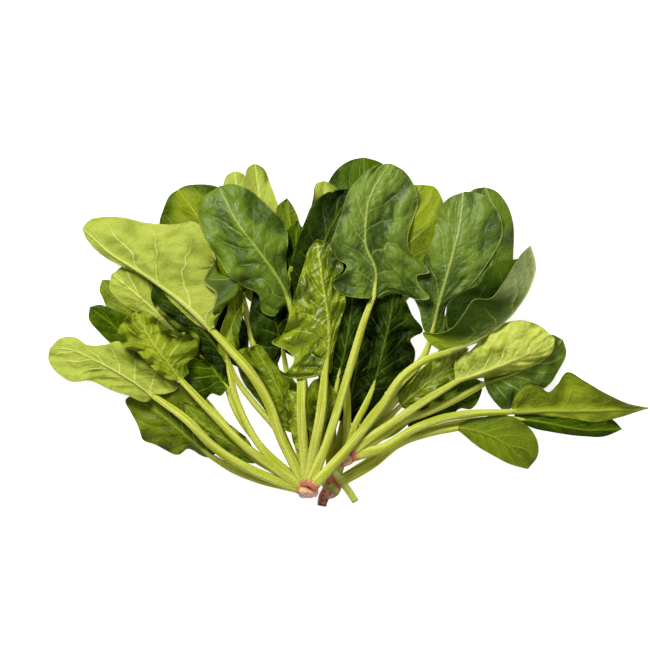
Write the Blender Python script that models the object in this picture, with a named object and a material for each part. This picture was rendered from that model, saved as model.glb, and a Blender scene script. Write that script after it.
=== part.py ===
"""A cut bunch of spinach, lying fanned out on a table: three plants, cut through their crowns.

Every leaf is one closed solid: its stem, its midrib and a thin waved blade. A leaf is drawn by four
curves seen from above: the stem, the rib, and the left and right margins of the blade. The leaves
are laid one after another, from the lowest to the uppermost. Each keeps its own form and is lifted
just clear of what already lies below it. The table is z = 0 and the crowns point to -Y.
"""

import math

import bpy
import numpy as np
from mathutils import Vector

MM = 0.001

# Driving dimensions, in millimetres
BLADE_HALF = 0.45       # half the thickness of a blade
CLEARANCE = 0.5         # height left between a leaf and what it lies on
CELL = 0.5              # cell of the height map that the leaves are laid on
SAMPLE_STEP = 0.6       # distance between the sample points on a leaf's faces
REACH_X = 260.0         # the height map covers this far to either side of the middle
REACH_Y = 160.0
SHEATH_HALF = (1.8, 1.3)    # half width and half height of a stem where it leaves its crown
LOWEST_STEM = 1.5       # height of a crown's lowest stems above its underside
MOUTH = (9.8, 8.0)      # half width and depth of the half ring on which a crown's stems start
STEM_SLOPE = 0.3        # steepest change of the lift along a stem, and along a blade
BLADE_SLOPE = 0.7
STEM_ROUND = 0.8        # height of a stem against its width
COLLAR_HEIGHT = 5.0     # height of a leaf's collar and tip above what it rests on
TIP_HEIGHT = 1.2
ARCH = 0.07             # rise of the middle of a blade against its length
CUP_POWER = 1.4         # how a blade's cup rises from the rib (0) to the margin (1)
WAVE_POWER = 2.0        # how its waves grow from the rib to the margin
WAVE_SHIFT = 0.9        # shift between the waves of the left and the right margin, in radians
RIB_TAPER = (0.95, 0.72, 0.7)   # a rib is its stem's width times 0.95 - 0.72 * share^0.7
RIB_SHARE = 0.4         # the rib takes up no more than this share of half a narrow blade
RIDGE = (0.9, 0.9)      # the rib stands proud by 0.9 of its stem, fading as (1 - share)^0.9
STEM_END = 0.2          # the stem's other side fades out over this share of the blade
SWELL_END = 0.35        # a stem has its full width from this share of its length on
CROWN_SIDES = 14        # corners of a crown's rings
CROWN_CUT = 0.1         # share of a crown's height that is cut flat underneath
CROWN_ROOM = 1.0        # how far a crown stands over its uppermost stem

STEM_AT = (0.0, 0.12, 0.38, 0.7, 1.0)     # sections of a stem, from its base to its collar
BLADE_AT = (0.05, 0.12, 0.21, 0.32, 0.44, 0.56, 0.68, 0.80, 0.91, 0.985)
INNER = 0.55            # where the middle column of half a blade lies, from rib to margin
COLUMNS = 7
LOOP = 2 * COLUMNS
SHEET_PASSES = 14       # smoothing passes that spread a lift over a leaf
SHEET_WEIGHTS = (0.4, 0.2, 0.1)     # of a point, of its row neighbours and of its side neighbours
SETTLE_ROUNDS = 25      # a leaf is lifted at most so many times, until it lacks less than this
NEAR_ENOUGH = 0.02
AHEAD = 0.02            # step along a path, as a share, that its heading is read from

# Colours, as sRGB from 0 to 255
TINTS = {
    "pale": (176, 190, 84),
    "lime": (140, 164, 40),
    "bright": (178, 194, 56),
    "mid": (98, 130, 44),
    "olive": (92, 116, 42),
    "dark": (66, 100, 32),
    "deep": (46, 82, 28),
    "grey": (122, 146, 84),
    "grey_top": (84, 118, 62),
    "crown": (186, 118, 104),
    "crown_green": (176, 140, 92),
    "stalk": (184, 192, 92),
}

STALK_AFTER = "leaf_top_main"
STALK_PATH = [(-12, -110, 3), (-6, -118, 3), (1, -127, 2.6), (6, -135, 2.4)]
STALK_HALF = (2.5, 2.1)     # its half width and half height
LEAVES = []
CROWNS = {}


def leaf(name, crown, face, tint, half_width, stem, rib, left, right, cup, ruffle):
    """One leaf. face is the side that looks up, half_width is the stem's, and cup is how far the
    left and right margins stand above the rib. ruffle is the height and number of the margin's
    waves. Points are (x, y) in millimetres, and a margin's point may add its own height."""
    LEAVES.append(dict(name="leaf_" + name, crown=crown, face=face, tint=tint, half_width=half_width,
                       stem=stem, rib=rib, left=left, right=right, cup=cup, ruffle=ruffle))


def crown(name, tint, middle, angles, centres, half_widths):
    """One crown, as rings round these centres from its cut end to its leaves. Its stems start
    round its middle, at these angles."""
    CROWNS[name] = dict(name="crown_" + name, tint=tint, middle=middle, angles=angles,
                        centres=centres, half_widths=half_widths, stem_heights=[], underside=0.0)


def lay_out():
    """The crowns, then the leaves from the lowest to the uppermost."""
    crown("left", "crown", (-32, -126), (168, 150, 134, 117, 100, 84, 68, 47),
          [(-33, -132), (-33, -130.5), (-32.5, -128), (-32, -124.5), (-32, -122), (-32, -119.6)],
          (5.0, 7.4, 8.6, 8.3, 7.0, 4.2))
    crown("low", "crown_green", (-13, -123), (92, 66, 31),
          [(-21, -139), (-20, -134), (-18.5, -130.5), (-15.5, -127.5), (-13, -123), (-13, -116.6)],
          (3.6, 4.0, 4.8, 7.6, 8.2, 4.2))
    crown("high", "crown", (-1, -99), (94, 72, 50, 28, 8),
          [(-7, -105.5), (-6, -104), (-3.8, -101.5), (-1, -98.5), (2.6, -94.4)],
          (3.5, 5.5, 7.0, 7.2, 4.0))

    leaf("far_left_mid", "left", "under", "mid", 2.6,
         [(-86, -87), (-111, -59), (-134, -32)],
         [(-153, -7), (-172, 12), (-185, 26), (-198, 43)],
         [(-160, -5), (-179, 8), (-193, 19), (-197, 28), (-200, 37)],
         [(-150, 5), (-163, 27), (-178, 40), (-191, 43)],
         cup=(4, 4), ruffle=(2, 4)),
    leaf("far_left_dark", "left", "top", "dark", 2.8,
         [(-78, -111), (-108, -92), (-131, -63), (-148, -39)],
         [(-158, -24), (-174, -9), (-190, 8), (-208, 21)],
         [(-161, -31), (-177, -22), (-191, -8), (-201, 2), (-209, 13)],
         [(-153, -13), (-163, 5), (-177, 14), (-190, 20), (-200, 23)],
         cup=(-4, -4), ruffle=(2, 3)),
    leaf("far_left_oval", "left", "under", "pale", 2.8,
         [(-86, -87), (-107, -56), (-120, -31)],
         [(-131, -9), (-145, 8), (-168, 30), (-190, 48)],
         [(-137, -9), (-153, 5), (-168, 16), (-182, 25), (-192, 38)],
         [(-126, -3), (-137, 8), (-148, 21), (-157, 35), (-165, 46), (-178, 53)],
         cup=(-10, -10), ruffle=(1, 3)),
    leaf("low_left", "left", "top", "olive", 3.0,
         [(-70, -120), (-91, -112)],
         [(-110, -99), (-128, -84), (-149, -66), (-175, -50)],
         [(-116, -99), (-130, -93), (-135, -97), (-156, -89),
          (-165, -86), (-168, -77), (-175, -63), (-179, -53)],
         [(-102, -93), (-108, -76), (-117, -56), (-139, -38), (-163, -39)],
         cup=(-7, 5), ruffle=(3, 5)),
    leaf("top_dark", "low", "top", "dark", 2.8,
         [(0, -55), (10, -7)],
         [(13, 33), (13, 73), (12, 105), (13, 142)],
         [(4, 41), (-9, 65), (-17, 93), (-17, 119), (-9, 132), (3, 140)],
         [(23, 41), (36, 69), (41, 101), (38, 126), (26, 138)],
         cup=(-8, -8), ruffle=(2, 4)),
    leaf("far_right_under", "low", "top", "dark", 2.6,
         [(34, -93), (72, -76), (112, -69)],
         [(133, -68), (156, -71), (188, -77), (221, -77)],
         [(136, -63), (160, -61), (192, -63), (214, -70)],
         [(136, -71), (149, -78), (166, -81), (188, -84), (208, -84)],
         cup=(-2, -4), ruffle=(1, 3)),
    leaf("top_pale", "low", "under", "pale", 2.6,
         [(10, -63), (28, -11)],
         [(37, 21), (47, 56), (57, 90), (62, 123)],
         [(32, 28), (34, 56), (40, 90), (49, 116)],
         [(45, 25), (60, 51), (71, 74), (76, 96), (73, 114)],
         cup=(-6, -5), ruffle=(1, 3)),
    leaf("mid_folded", "low", "under", "pale", 2.2,
         [(-12, -55), (-11, 1)],
         [(-11, 33), (-12, 61), (-17, 93), (-19, 123)],
         [(-16, 37), (-24, 61), (-31, 88), (-28, 109), (-25, 121)],
         [(-4, 40), (-1, 65), (-4, 93), (-9, 117)],
         cup=(8, 5), ruffle=(2, 3)),
    leaf("left_tip_low", "left", "top", "pale", 2.4,
         [(-53, -80), (-64, -47), (-72, -8)],
         [(-76, 25), (-82, 64), (-88, 99), (-91, 131)],
         [(-81, 28), (-91, 61), (-99, 94), (-101, 117), (-97, 128)],
         [(-70, 28), (-70, 65), (-74, 98), (-80, 121), (-85, 129)],
         cup=(-5, -5), ruffle=(2, 3)),
    leaf("left_tip_long", "left", "top", "pale", 2.4,
         [(-40, -80), (-52, -47), (-62, -11)],
         [(-64, 21), (-65, 57), (-70, 99), (-75, 137)],
         [(-70, 25), (-75, 61), (-81, 99), (-83, 123), (-80, 134)],
         [(-57, 27), (-52, 65), (-55, 98), (-62, 119), (-69, 134)],
         cup=(7, -5), ruffle=(2, 3)),
    leaf("left_tip_small", "left", "top", "mid", 2.2,
         [(-30, -80), (-35, -39), (-40, -7)],
         [(-41, 21), (-43, 53), (-46, 83), (-49, 109)],
         [(-46, 25), (-52, 57), (-57, 86), (-56, 103)],
         [(-35, 25), (-34, 56), (-38, 85), (-44, 102)],
         cup=(-4, -4), ruffle=(1, 3)),
    leaf("left_round", "left", "top", "lime", 3.2,
         [(-55, -80), (-64, -51), (-76, -7)],
         [(-85, 32), (-102, 65), (-120, 93), (-137, 116)],
         [(-94, 33), (-123, 51), (-145, 72), (-152, 88), (-148, 102), (-143, 112)],
         [(-75, 41), (-76, 73), (-87, 101), (-105, 118), (-121, 120), (-131, 119)],
         cup=(-8, -10), ruffle=(3, 5)),
    leaf("left_under", "left", "top", "mid", 2.6,
         [(-73, -87), (-91, -61)],
         [(-97, -44), (-108, -29), (-117, -15), (-123, 0)],
         [(-102, -50), (-109, -48), (-117, -55), (-127, -47), (-135, -34), (-133, -14)],
         [(-93, -34), (-96, -16), (-104, -2), (-115, 4)],
         cup=(-5, -4), ruffle=(3, 4)),
    leaf("left_ruffled", "left", "top", "dark", 2.8,
         [(-73, -87), (-89, -55)],
         [(-96, -24), (-107, -9), (-127, 14), (-156, 40)],
         [(-100, -28), (-113, -23), (-121, -15), (-121, -5), (-130, 0), (-146, 12), (-158, 30)],
         [(-84, -28), (-80, -11), (-83, 10), (-97, 26), (-118, 37), (-141, 43)],
         cup=(-5, -5), ruffle=(4, 6)),
    leaf("left_deep", "left", "top", "dark", 2.4,
         [(-43, -75), (-48, -39)],
         [(-52, -15), (-57, 5), (-62, 25), (-65, 46)],
         [(-60, -30), (-72, -12), (-79, 9), (-77, 28), (-72, 42)],
         [(-40, -20), (-37, 8), (-43, 28), (-55, 42)],
         cup=(-4, -4), ruffle=(2, 5)),
    leaf("centre_deep", "low", "top", "deep", 2.4,
         [(-8, -87)],
         [(-4, -71), (4, -42), (9, -8), (14, 30)],
         [(-20, -66), (-24, -42), (-18, -8), (-4, 24)],
         [(14, -72), (28, -52), (31, -14), (30, 20)],
         cup=(-3, -3), ruffle=(2, 5)),
    leaf("mid_narrow", "left", "top", "dark", 2.4,
         [(-37, -75), (-36, -31)],
         [(-40, 5), (-42, 33), (-42, 61), (-41, 91)],
         [(-46, 8), (-50, 33), (-51, 61), (-48, 83)],
         [(-32, 9), (-32, 37), (-35, 65), (-36, 83)],
         cup=(-5, 5), ruffle=(2, 4)),
    leaf("mid_inner", "high", "top", "mid", 2.4,
         [(-1, -47), (-6, 1)],
         [(-6, 29), (-6, 56), (-5, 81), (2, 108)],
         [(-12, 33), (-19, 56), (-19, 77), (-12, 99)],
         [(0, 33), (7, 56), (10, 81), (10, 102)],
         cup=(6, 0), ruffle=(2, 3)),
    leaf("mid_rimmed", "low", "top", "deep", 2.8,
         [(-17, -59), (-22, -19)],
         [(-24, 8), (-26, 40), (-19, 73), (4, 116)],
         [(-33, 9), (-46, 23), (-49, 43), (-43, 66), (-36, 86), (-27, 105), (-12, 115)],
         [(-14, 17), (-6, 45), (-1, 73), (7, 101)],
         cup=(7, -4), ruffle=(2, 4)),
    leaf("right_behind", "high", "top", "mid", 3.2,
         [(20, -74), (45, -46), (70, -21)],
         [(82, -5), (102, 25), (116, 61), (119, 90), (111, 118)],
         [(77, 1), (82, 25), (92, 56), (93, 86), (94, 107), (101, 116)],
         [(90, -3), (114, 17), (130, 41), (133, 65), (133, 88), (127, 106), (119, 115)],
         cup=(-5, -8), ruffle=(2, 4)),
    leaf("right_shiny", "high", "top", "deep", 3.2,
         [(13, -75), (40, -43), (60, -20)],
         [(67, -4), (72, 20), (82, 57), (89, 84), (93, 114)],
         [(61, 3), (57, 20), (51, 34), (55, 50), (62, 63), (69, 78), (72, 98), (81, 109)],
         [(75, -1), (79, 22), (97, 37), (114, 60), (124, 80), (121, 97), (112, 109), (101, 114)],
         cup=(-8, -10), ruffle=(2, 4)),
    leaf("centre_shiny", "high", "top", "deep", 2.6,
         [(5, -69), (12, -52)],
         [(19, -46), (23, -32), (29, -8), (34, 14), (37, 38)],
         [(12, -44), (8, -34), (16, -25), (18, -8), (10, 4), (12, 22), (24, 36)],
         [(32, -46), (40, -38), (52, -25), (54, -14), (50, -5), (60, 2), (52, 14), (44, 30)],
         cup=(-7, -8), ruffle=(4, 6)),
    leaf("centre_dark", "left", "top", "dark", 2.4,
         [(-16, -75), (-11, -51)],
         [(-8, -36), (-3, -15), (1, 8), (5, 38)],
         [(-18, -44), (-21, -20), (-14, 4), (-4, 28)],
         [(-1, -38), (2, -20), (7, 1), (14, 26)],
         cup=(-4, -4), ruffle=(3, 5)),
    leaf("right_lobed", "high", "top", "dark", 2.4,
         [(24, -85), (37, -79)],
         [(47, -72), (64, -61), (84, -50), (109, -39)],
         [(45, -64), (58, -51), (80, -40), (95, -34)],
         [(52, -80), (66, -73), (82, -67), (91, -60), (98, -61), (107, -49)],
         cup=(-4, -5), ruffle=(3, 5)),
    leaf("right_small", "high", "under", "mid", 2.4,
         [(23, -77), (32, -68)],
         [(42, -58), (56, -46), (74, -32), (97, -12)],
         [(41, -51), (51, -38), (64, -24), (84, -8)],
         [(47, -61), (63, -55), (79, -42), (94, -26)],
         cup=(5, -4), ruffle=(4, 5)),
    leaf("left_twisted", "left", "under", "lime", 2.4,
         [(-55, -80), (-76, -55), (-91, -34)],
         [(-97, -20), (-96, -2), (-89, 17), (-88, 36)],
         [(-104, -15), (-103, -2), (-97, 16), (-93, 30)],
         [(-89, -16), (-87, 1), (-83, 21), (-84, 32)],
         cup=(10, 6), ruffle=(2, 3)),
    leaf("low_left_crumpled", "left", "top", "deep", 2.6,
         [(-57, -111)],
         [(-73, -103), (-94, -88), (-115, -74), (-132, -55)],
         [(-78, -104), (-97, -95), (-116, -82), (-128, -67)],
         [(-75, -95), (-81, -84), (-96, -72), (-108, -62), (-123, -55)],
         cup=(-4, -5), ruffle=(4, 6)),
    leaf("inner_dark", "left", "top", "deep", 2.2,
         [(-40, -93)],
         [(-43, -79), (-52, -53), (-64, -29), (-76, -10)],
         [(-52, -77), (-70, -57), (-87, -32), (-88, -14)],
         [(-33, -74), (-35, -56), (-43, -38), (-57, -27), (-66, -15), (-72, -9)],
         cup=(-2, -2), ruffle=(2, 6)),
    leaf("inner_bright", "left", "under", "lime", 2.0,
         [(-35, -108)],
         [(-36, -96), (-38, -79), (-41, -61), (-48, -45)],
         [(-41, -93), (-46, -77), (-50, -61), (-52, -50)],
         [(-30, -92), (-32, -74), (-33, -58), (-40, -47)],
         cup=(1, 1), ruffle=(2, 5)),
    leaf("right_grey", "high", "under", "grey", 3.0,
         [(24, -84), (42, -71), (64, -63), (88, -52)],
         [(110, -40), (136, -31), (159, -21), (175, -8)],
         [(109, -32), (130, -21), (152, -8), (165, -4)],
         [(112, -46), (118, -55), (127, -62), (136, -56), (147, -50), (163, -42), (172, -30), (177, -16)],
         cup=(5, -6), ruffle=(3, 5)),
    leaf("low_right", "low", "under", "dark", 3.0,
         [(20, -105), (42, -88), (66, -80)],
         [(88, -76), (108, -80), (127, -89), (145, -109)],
         [(93, -71), (110, -67), (129, -66), (143, -73), (152, -85), (153, -98)],
         [(91, -82), (101, -91), (116, -100), (132, -107)],
         cup=(-5, 8), ruffle=(1, 3)),
    leaf("far_left_low", "left", "under", "pale", 3.4,
         [(-78, -109), (-108, -90), (-129, -69)],
         [(-156, -50), (-173, -38), (-200, -23), (-224, -13), (-240, -12)],
         [(-160, -54), (-176, -50), (-190, -45), (-206, -38), (-223, -38), (-234, -31), (-241, -21)],
         [(-145, -48), (-136, -43), (-142, -31), (-158, -21), (-173, -12),
          (-184, -6), (-195, -9), (-210, -9), (-220, -3), (-232, -4)],
         cup=(7, -8), ruffle=(2, 4)),
    leaf("far_left_crinkled", "left", "under", "lime", 3.2,
         [(-86, -87), (-111, -61)],
         [(-134, -37), (-144, -24), (-154, -11), (-163, 3), (-169, 18)],
         [(-142, -37), (-158, -26), (-167, -16), (-183, -6), (-184, 3), (-177, 13)],
         [(-128, -32), (-129, -24), (-120, -16), (-120, -8),
          (-131, 1), (-142, 3), (-156, 14), (-163, 18)],
         cup=(10, -8), ruffle=(5, 6)),
    leaf("left_broad", "left", "under", "pale", 3.9,
         [(-55, -80), (-63, -57), (-79, -30), (-94, -13)],
         [(-108, 2), (-129, 22), (-164, 48), (-190, 64), (-214, 85)],
         [(-116, 4), (-139, 23), (-163, 44), (-182, 52), (-201, 64), (-212, 76)],
         [(-104, 12), (-97, 23), (-88, 32), (-87, 41), (-96, 46), (-103, 48), (-106, 60),
          (-112, 75), (-123, 89), (-139, 85), (-164, 87), (-182, 92), (-196, 93), (-209, 91)],
         cup=(-12, -7), ruffle=(2, 5)),
    leaf("far_right", "high", "under", "mid", 3.2,
         [(29, -91), (52, -77), (76, -68), (103, -64)],
         [(131, -63), (157, -62), (192, -62), (242, -60)],
         [(132, -56), (136, -47), (144, -41), (154, -43), (160, -47),
          (167, -41), (175, -31), (189, -38), (203, -46), (224, -56)],
         [(136, -64), (157, -66), (179, -68), (198, -71), (216, -68), (230, -64)],
         cup=(10, -7), ruffle=(2, 4)),
    leaf("right_pale", "high", "top", "bright", 3.2,
         [(17, -84), (39, -69), (64, -52)],
         [(87, -38), (105, -27), (126, -16), (148, -8), (165, -4)],
         [(85, -28), (88, -17), (96, -15), (104, -9), (113, 0), (126, 6), (138, 8), (153, 4)],
         [(104, -36), (120, -34), (138, -29), (156, -22), (165, -12)],
         cup=(-8, 10), ruffle=(2, 5)),
    leaf("left_crinkled", "left", "top", "deep", 3.9,
         [(-37, -71), (-38, -23)],
         [(-44, 16), (-52, 37), (-70, 64), (-88, 88), (-104, 118)],
         [(-51, 22), (-60, 14), (-69, 18), (-72, 32), (-84, 38), (-95, 46),
          (-104, 60), (-114, 76), (-120, 91), (-119, 104), (-112, 113)],
         [(-45, 28), (-48, 44), (-50, 60), (-48, 76), (-52, 90),
          (-61, 99), (-70, 108), (-83, 117), (-94, 120)],
         cup=(-8, -10), ruffle=(3, 5)),
    leaf("inner_small", "left", "top", "mid", 2.0,
         [(-22, -95)],
         [(-20, -80), (-17, -69), (-13, -58), (-13, -45)],
         [(-30, -78), (-33, -62), (-25, -47)],
         [(-15, -77), (-9, -63), (-9, -52)],
         cup=(1, 1), ruffle=(1, 4)),
    leaf("centre_bright", "left", "top", "lime", 4.0,
         [(-28, -96), (-22, -64)],
         [(-19, -33), (-16, -15), (-16, 11), (-20, 37), (-25, 75)],
         [(-25, -34), (-36, -36), (-51, -33), (-46, -27), (-43, -21), (-48, -14), (-61, -7),
          (-52, 0), (-48, 11), (-44, 27), (-40, 40), (-35, 56), (-31, 68)],
         [(-15, -32), (-12, -16), (-9, -2), (-6, 11), (-2, 24),
          (-4, 35), (-8, 44), (-4, 52), (-9, 64), (-17, 73)],
         cup=(-7, -7), ruffle=(4, 6)),
    leaf("top_main", "left", "top", "grey_top", 3.2,
         [(-12, -72), (-2, -39), (4, -19), (13, 11)],
         [(20, 28), (22, 51), (14, 71), (14, 88), (17, 108), (25, 124), (34, 137)],
         [(15, 28), (4, 29), (-7, 32), (-13, 40), (-4, 48), (-1, 54), (-9, 60),
          (-14, 69), (-10, 83), (-5, 98), (1, 115), (11, 127), (22, 135)],
         [(24, 28), (34, 32), (45, 31), (56, 27), (65, 28), (57, 39), (55, 46), (65, 49),
          (60, 56), (50, 65), (48, 79), (52, 91), (56, 104), (54, 117), (46, 130)],
         cup=(-8, -10), ruffle=(3, 5)),
    leaf("right_folded", "left", "under", "dark", 4.0,
         [(1, -90), (26, -59), (45, -33), (64, -20)],
         [(80, -15), (101, -7), (121, 5), (136, 20), (146, 36), (151, 54), (147, 71)],
         [(71, -12, 0), (60, 1, 6), (71, 0, 14), (82, 4, 20), (92, 16, 24),
          (100, 27, 26), (113, 28, 26), (123, 39, 22), (133, 55, 14), (141, 66, 6)],
         [(82, -5, -2), (79, 11, 0), (80, 25, 4), (92, 34, 6), (103, 39, 7),
          (112, 52, 7), (123, 59, 6), (136, 60, 3), (144, 65, 2)],
         cup=(0, 0), ruffle=(1, 4)),


def curve(points, at):
    """Smooth curve through the points, read at shares of its length: cubic pieces between the
    points, whose slope at a point is that of the line through its neighbours."""
    points = np.asarray(points, float)
    steps = np.linalg.norm(np.diff(points[:, :2], axis=0), axis=1)
    knots = np.concatenate([[0.0], np.cumsum(steps)])
    knots /= knots[-1]
    slopes = np.gradient(points, knots, axis=0)
    at = np.asarray(at, float)
    k = np.clip(np.searchsorted(knots, at, side="right") - 1, 0, len(knots) - 2)
    width = (knots[k + 1] - knots[k])[:, None]
    s = (at[:, None] - knots[k][:, None]) / width
    h00 = 2 * s**3 - 3 * s**2 + 1
    h10 = s**3 - 2 * s**2 + s
    h01 = 3 * s**2 - 2 * s**3
    h11 = s**3 - s**2
    return (h00 * points[k] + h10 * width * slopes[k] + h01 * points[k + 1]
            + h11 * width * slopes[k + 1])


def unit(v):
    return v / np.maximum(np.linalg.norm(v, axis=-1, keepdims=True), 1e-9)


def with_heights(points):
    return np.array([tuple(p) + (0.0,) * (3 - len(p)) for p in points], float)


def stem_rows(path, half_width, half_height, at):
    """Sections round a path: ellipses, starting at the left edge and passing over the top."""
    middle = curve(path, at)
    ahead = unit(curve(path, np.minimum(at + AHEAD, 1)) - curve(path, np.maximum(at - AHEAD, 0)))
    right = unit(np.cross(ahead, (0.0, 0.0, 1.0)))
    up = np.cross(right, ahead)
    turn = math.pi * (1 - (np.arange(LOOP) + 0.5) / COLUMNS)
    across = np.cos(turn)[None, :, None] * half_width[:, None, None] * right[:, None, :]
    above = np.sin(turn)[None, :, None] * half_height[:, None, None] * up[:, None, :]
    return middle[:, None, :] + across + above


def blade_surface(one, at):
    """The middle surface of a blade: (rows, columns, 3). A row runs from the left margin over the
    rib to the right margin. Height over the rib: cup * f^1.4 + wave * f^2, f from rib to margin."""
    rib = curve(one["rib"], at)
    collar_z, tip_z = COLLAR_HEIGHT, TIP_HEIGHT
    length = np.linalg.norm(np.diff(np.array(one["rib"], float), axis=0), axis=1).sum()
    rib_z = collar_z + (tip_z - collar_z) * at**1.2 + ARCH * length * np.sin(np.pi * at)
    start = np.asarray(one["rib"][0], float)
    heading = unit(np.asarray(one["rib"][1], float) - start)
    to_right = np.array([heading[1], -heading[0]])
    tip = tuple(one["rib"][-1]) + (0.0,)
    rib_half = one["half_width"] * (RIB_TAPER[0] - RIB_TAPER[1] * at**RIB_TAPER[2])
    sides = []
    for sign, key in ((-1, "left"), (1, "right")):
        edge = tuple(start + sign * to_right * one["half_width"]) + (0.0,)
        margin = curve(np.vstack([edge, with_heights(one[key]), tip]), at)
        high, waves = one["ruffle"]
        cup = one["cup"][0 if sign < 0 else 1]
        bulge = np.sqrt(np.sin(np.pi * at))
        wave = high * bulge * np.sin(2 * np.pi * waves * at + sign * WAVE_SHIFT)
        rise = margin[:, 2] + cup * bulge
        span = np.linalg.norm(margin[:, :2] - rib, axis=1)
        edge_share = np.minimum(RIB_SHARE, rib_half / np.maximum(span, 1e-6))
        columns = []
        for share in (np.ones_like(at), np.maximum(INNER, edge_share + 0.1), edge_share):
            plan = rib + (margin[:, :2] - rib) * share[:, None]
            z = rib_z + rise * share**CUP_POWER + wave * share**WAVE_POWER
            columns.append(np.column_stack([plan, z]))
        sides.append(columns)
    middle = np.column_stack([rib, rib_z])
    left, right = sides
    return np.stack(left + [middle] + right[::-1], axis=1)


def normals_of(grid):
    """Unit normals of a grid of points, upward wherever the blade isn't folded over."""
    return unit(np.cross(np.gradient(grid, axis=1), np.gradient(grid, axis=0)))


def leaf_sections(one, lift):
    """All sections of a leaf as loops of LOOP points, from its base to its tip."""
    at = np.array(STEM_AT)
    collar = tuple(one["rib"][0]) + (COLLAR_HEIGHT,)
    base = one["base"]
    inner = [tuple(p) for p in one["stem"]]
    run = np.cumsum([math.dist(a, b) for a, b in zip([base[:2]] + inner, inner + [collar[:2]])])
    heights = base[2] + (COLLAR_HEIGHT - base[2]) * run / run[-1]
    path = [base] + [p + (h,) for p, h in zip(inner, heights)] + [collar]
    swell = np.minimum(1.0, at / SWELL_END)
    full = one["half_width"]
    half_width = SHEATH_HALF[0] + (full - SHEATH_HALF[0]) * swell
    half_height = SHEATH_HALF[1] + (full * STEM_ROUND - SHEATH_HALF[1]) * swell
    stem = stem_rows(path, half_width, half_height, at)
    stem[:, :, 2] += lift[:len(STEM_AT), COLUMNS // 2, None]
    rows = np.array(BLADE_AT)
    grid = blade_surface(one, rows)
    grid[:, :, 2] += lift[len(STEM_AT):]
    normal = normals_of(grid)
    ridge = one["half_width"] * STEM_ROUND * RIDGE[0] * (1 - rows) ** RIDGE[1]
    back = one["half_width"] * STEM_ROUND * np.maximum(0.0, 1 - rows / STEM_END)
    top = np.full(grid.shape[:2], BLADE_HALF)
    under = np.full(grid.shape[:2], BLADE_HALF)
    if one["face"] == "top":
        top[:, COLUMNS // 2] += back
        under[:, COLUMNS // 2] += ridge
    else:
        top[:, COLUMNS // 2] += ridge
        under[:, COLUMNS // 2] += back
    blade = np.concatenate([grid + normal * top[..., None],
                            (grid - normal * under[..., None])[:, ::-1]], axis=1)
    return np.concatenate([stem, blade])


def column_of(k):
    return k if k < COLUMNS else LOOP - 1 - k


def band_faces(rows):
    """Triangles between neighbouring sections, split alike on the upper and the lower face, and
    the strips that close both ends."""
    faces = []
    for i in range(rows - 1):
        for k in range(LOOP):
            n = (k + 1) % LOOP
            a, b = i * LOOP + k, i * LOOP + n
            c, d = b + LOOP, a + LOOP
            left_half = min(column_of(k), column_of(n)) < COLUMNS // 2
            if left_half == (k < COLUMNS):
                faces += [(a, b, d), (b, c, d)]
            else:
                faces += [(a, b, c), (a, c, d)]
    last = (rows - 1) * LOOP
    for j in range(COLUMNS - 1):
        a, b, c, d = j, j + 1, LOOP - 2 - j, LOOP - 1 - j
        faces += [(a, d, c), (a, c, b)]
        faces += [(last + a, last + c, last + d), (last + a, last + b, last + c)]
    return np.array(faces)


class Pile:
    """The height of everything laid so far, on a grid of cells."""

    def __init__(self):
        self.shape = (round(2 * REACH_X / CELL), round(2 * REACH_Y / CELL))
        self.top = np.full(self.shape, -CLEARANCE)

    def cells(self, points):
        i = np.clip(((points[..., 0] + REACH_X) / CELL).astype(int), 0, self.shape[0] - 1)
        j = np.clip(((points[..., 1] + REACH_Y) / CELL).astype(int), 0, self.shape[1] - 1)
        return i * self.shape[1] + j

    def samples(self, corners):
        """Groups of triangles, each with a net of points as fine as its longest side needs."""
        plan = corners[:, :, :2]
        side = np.max(np.linalg.norm(plan - np.roll(plan, 1, axis=1), axis=2), axis=1)
        splits = 2 ** np.ceil(np.log2(np.maximum(side / SAMPLE_STEP, 2))).astype(int)
        for n in np.unique(splits):
            pick = np.flatnonzero(splits == n)
            i, j = np.meshgrid(np.arange(n + 1), np.arange(n + 1), indexing="ij")
            keep = i + j <= n
            share = np.stack([i[keep], j[keep], n - i[keep] - j[keep]], axis=1) / n
            yield pick, share, np.einsum("ps,tsc->tpc", share, corners[pick])

    def shortfall(self, corners):
        """How much each corner of each triangle must rise for the triangle to be clear of what is
        below it. A sample point's need goes to the corners by their share in the point."""
        need = np.zeros((len(corners), 3))
        top = self.top.ravel()
        for pick, share, points in self.samples(corners):
            short = np.maximum(top[self.cells(points)] + CLEARANCE - points[..., 2], 0.0)
            need[pick] = (short[:, :, None] * share[None]).max(axis=1)
        return need

    def add(self, corners):
        top = self.top.ravel()
        for _, _, points in self.samples(corners):
            np.maximum.at(top, self.cells(points).ravel(), points[..., 2].ravel())
        self.top = top.reshape(self.shape)

    def highest(self, middle, radius):
        i, j = np.indices(self.shape)
        x = (i + 0.5) * CELL - REACH_X - middle[0]
        y = (j + 0.5) * CELL - REACH_Y - middle[1]
        return self.top[x * x + y * y < radius * radius].max()


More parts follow.
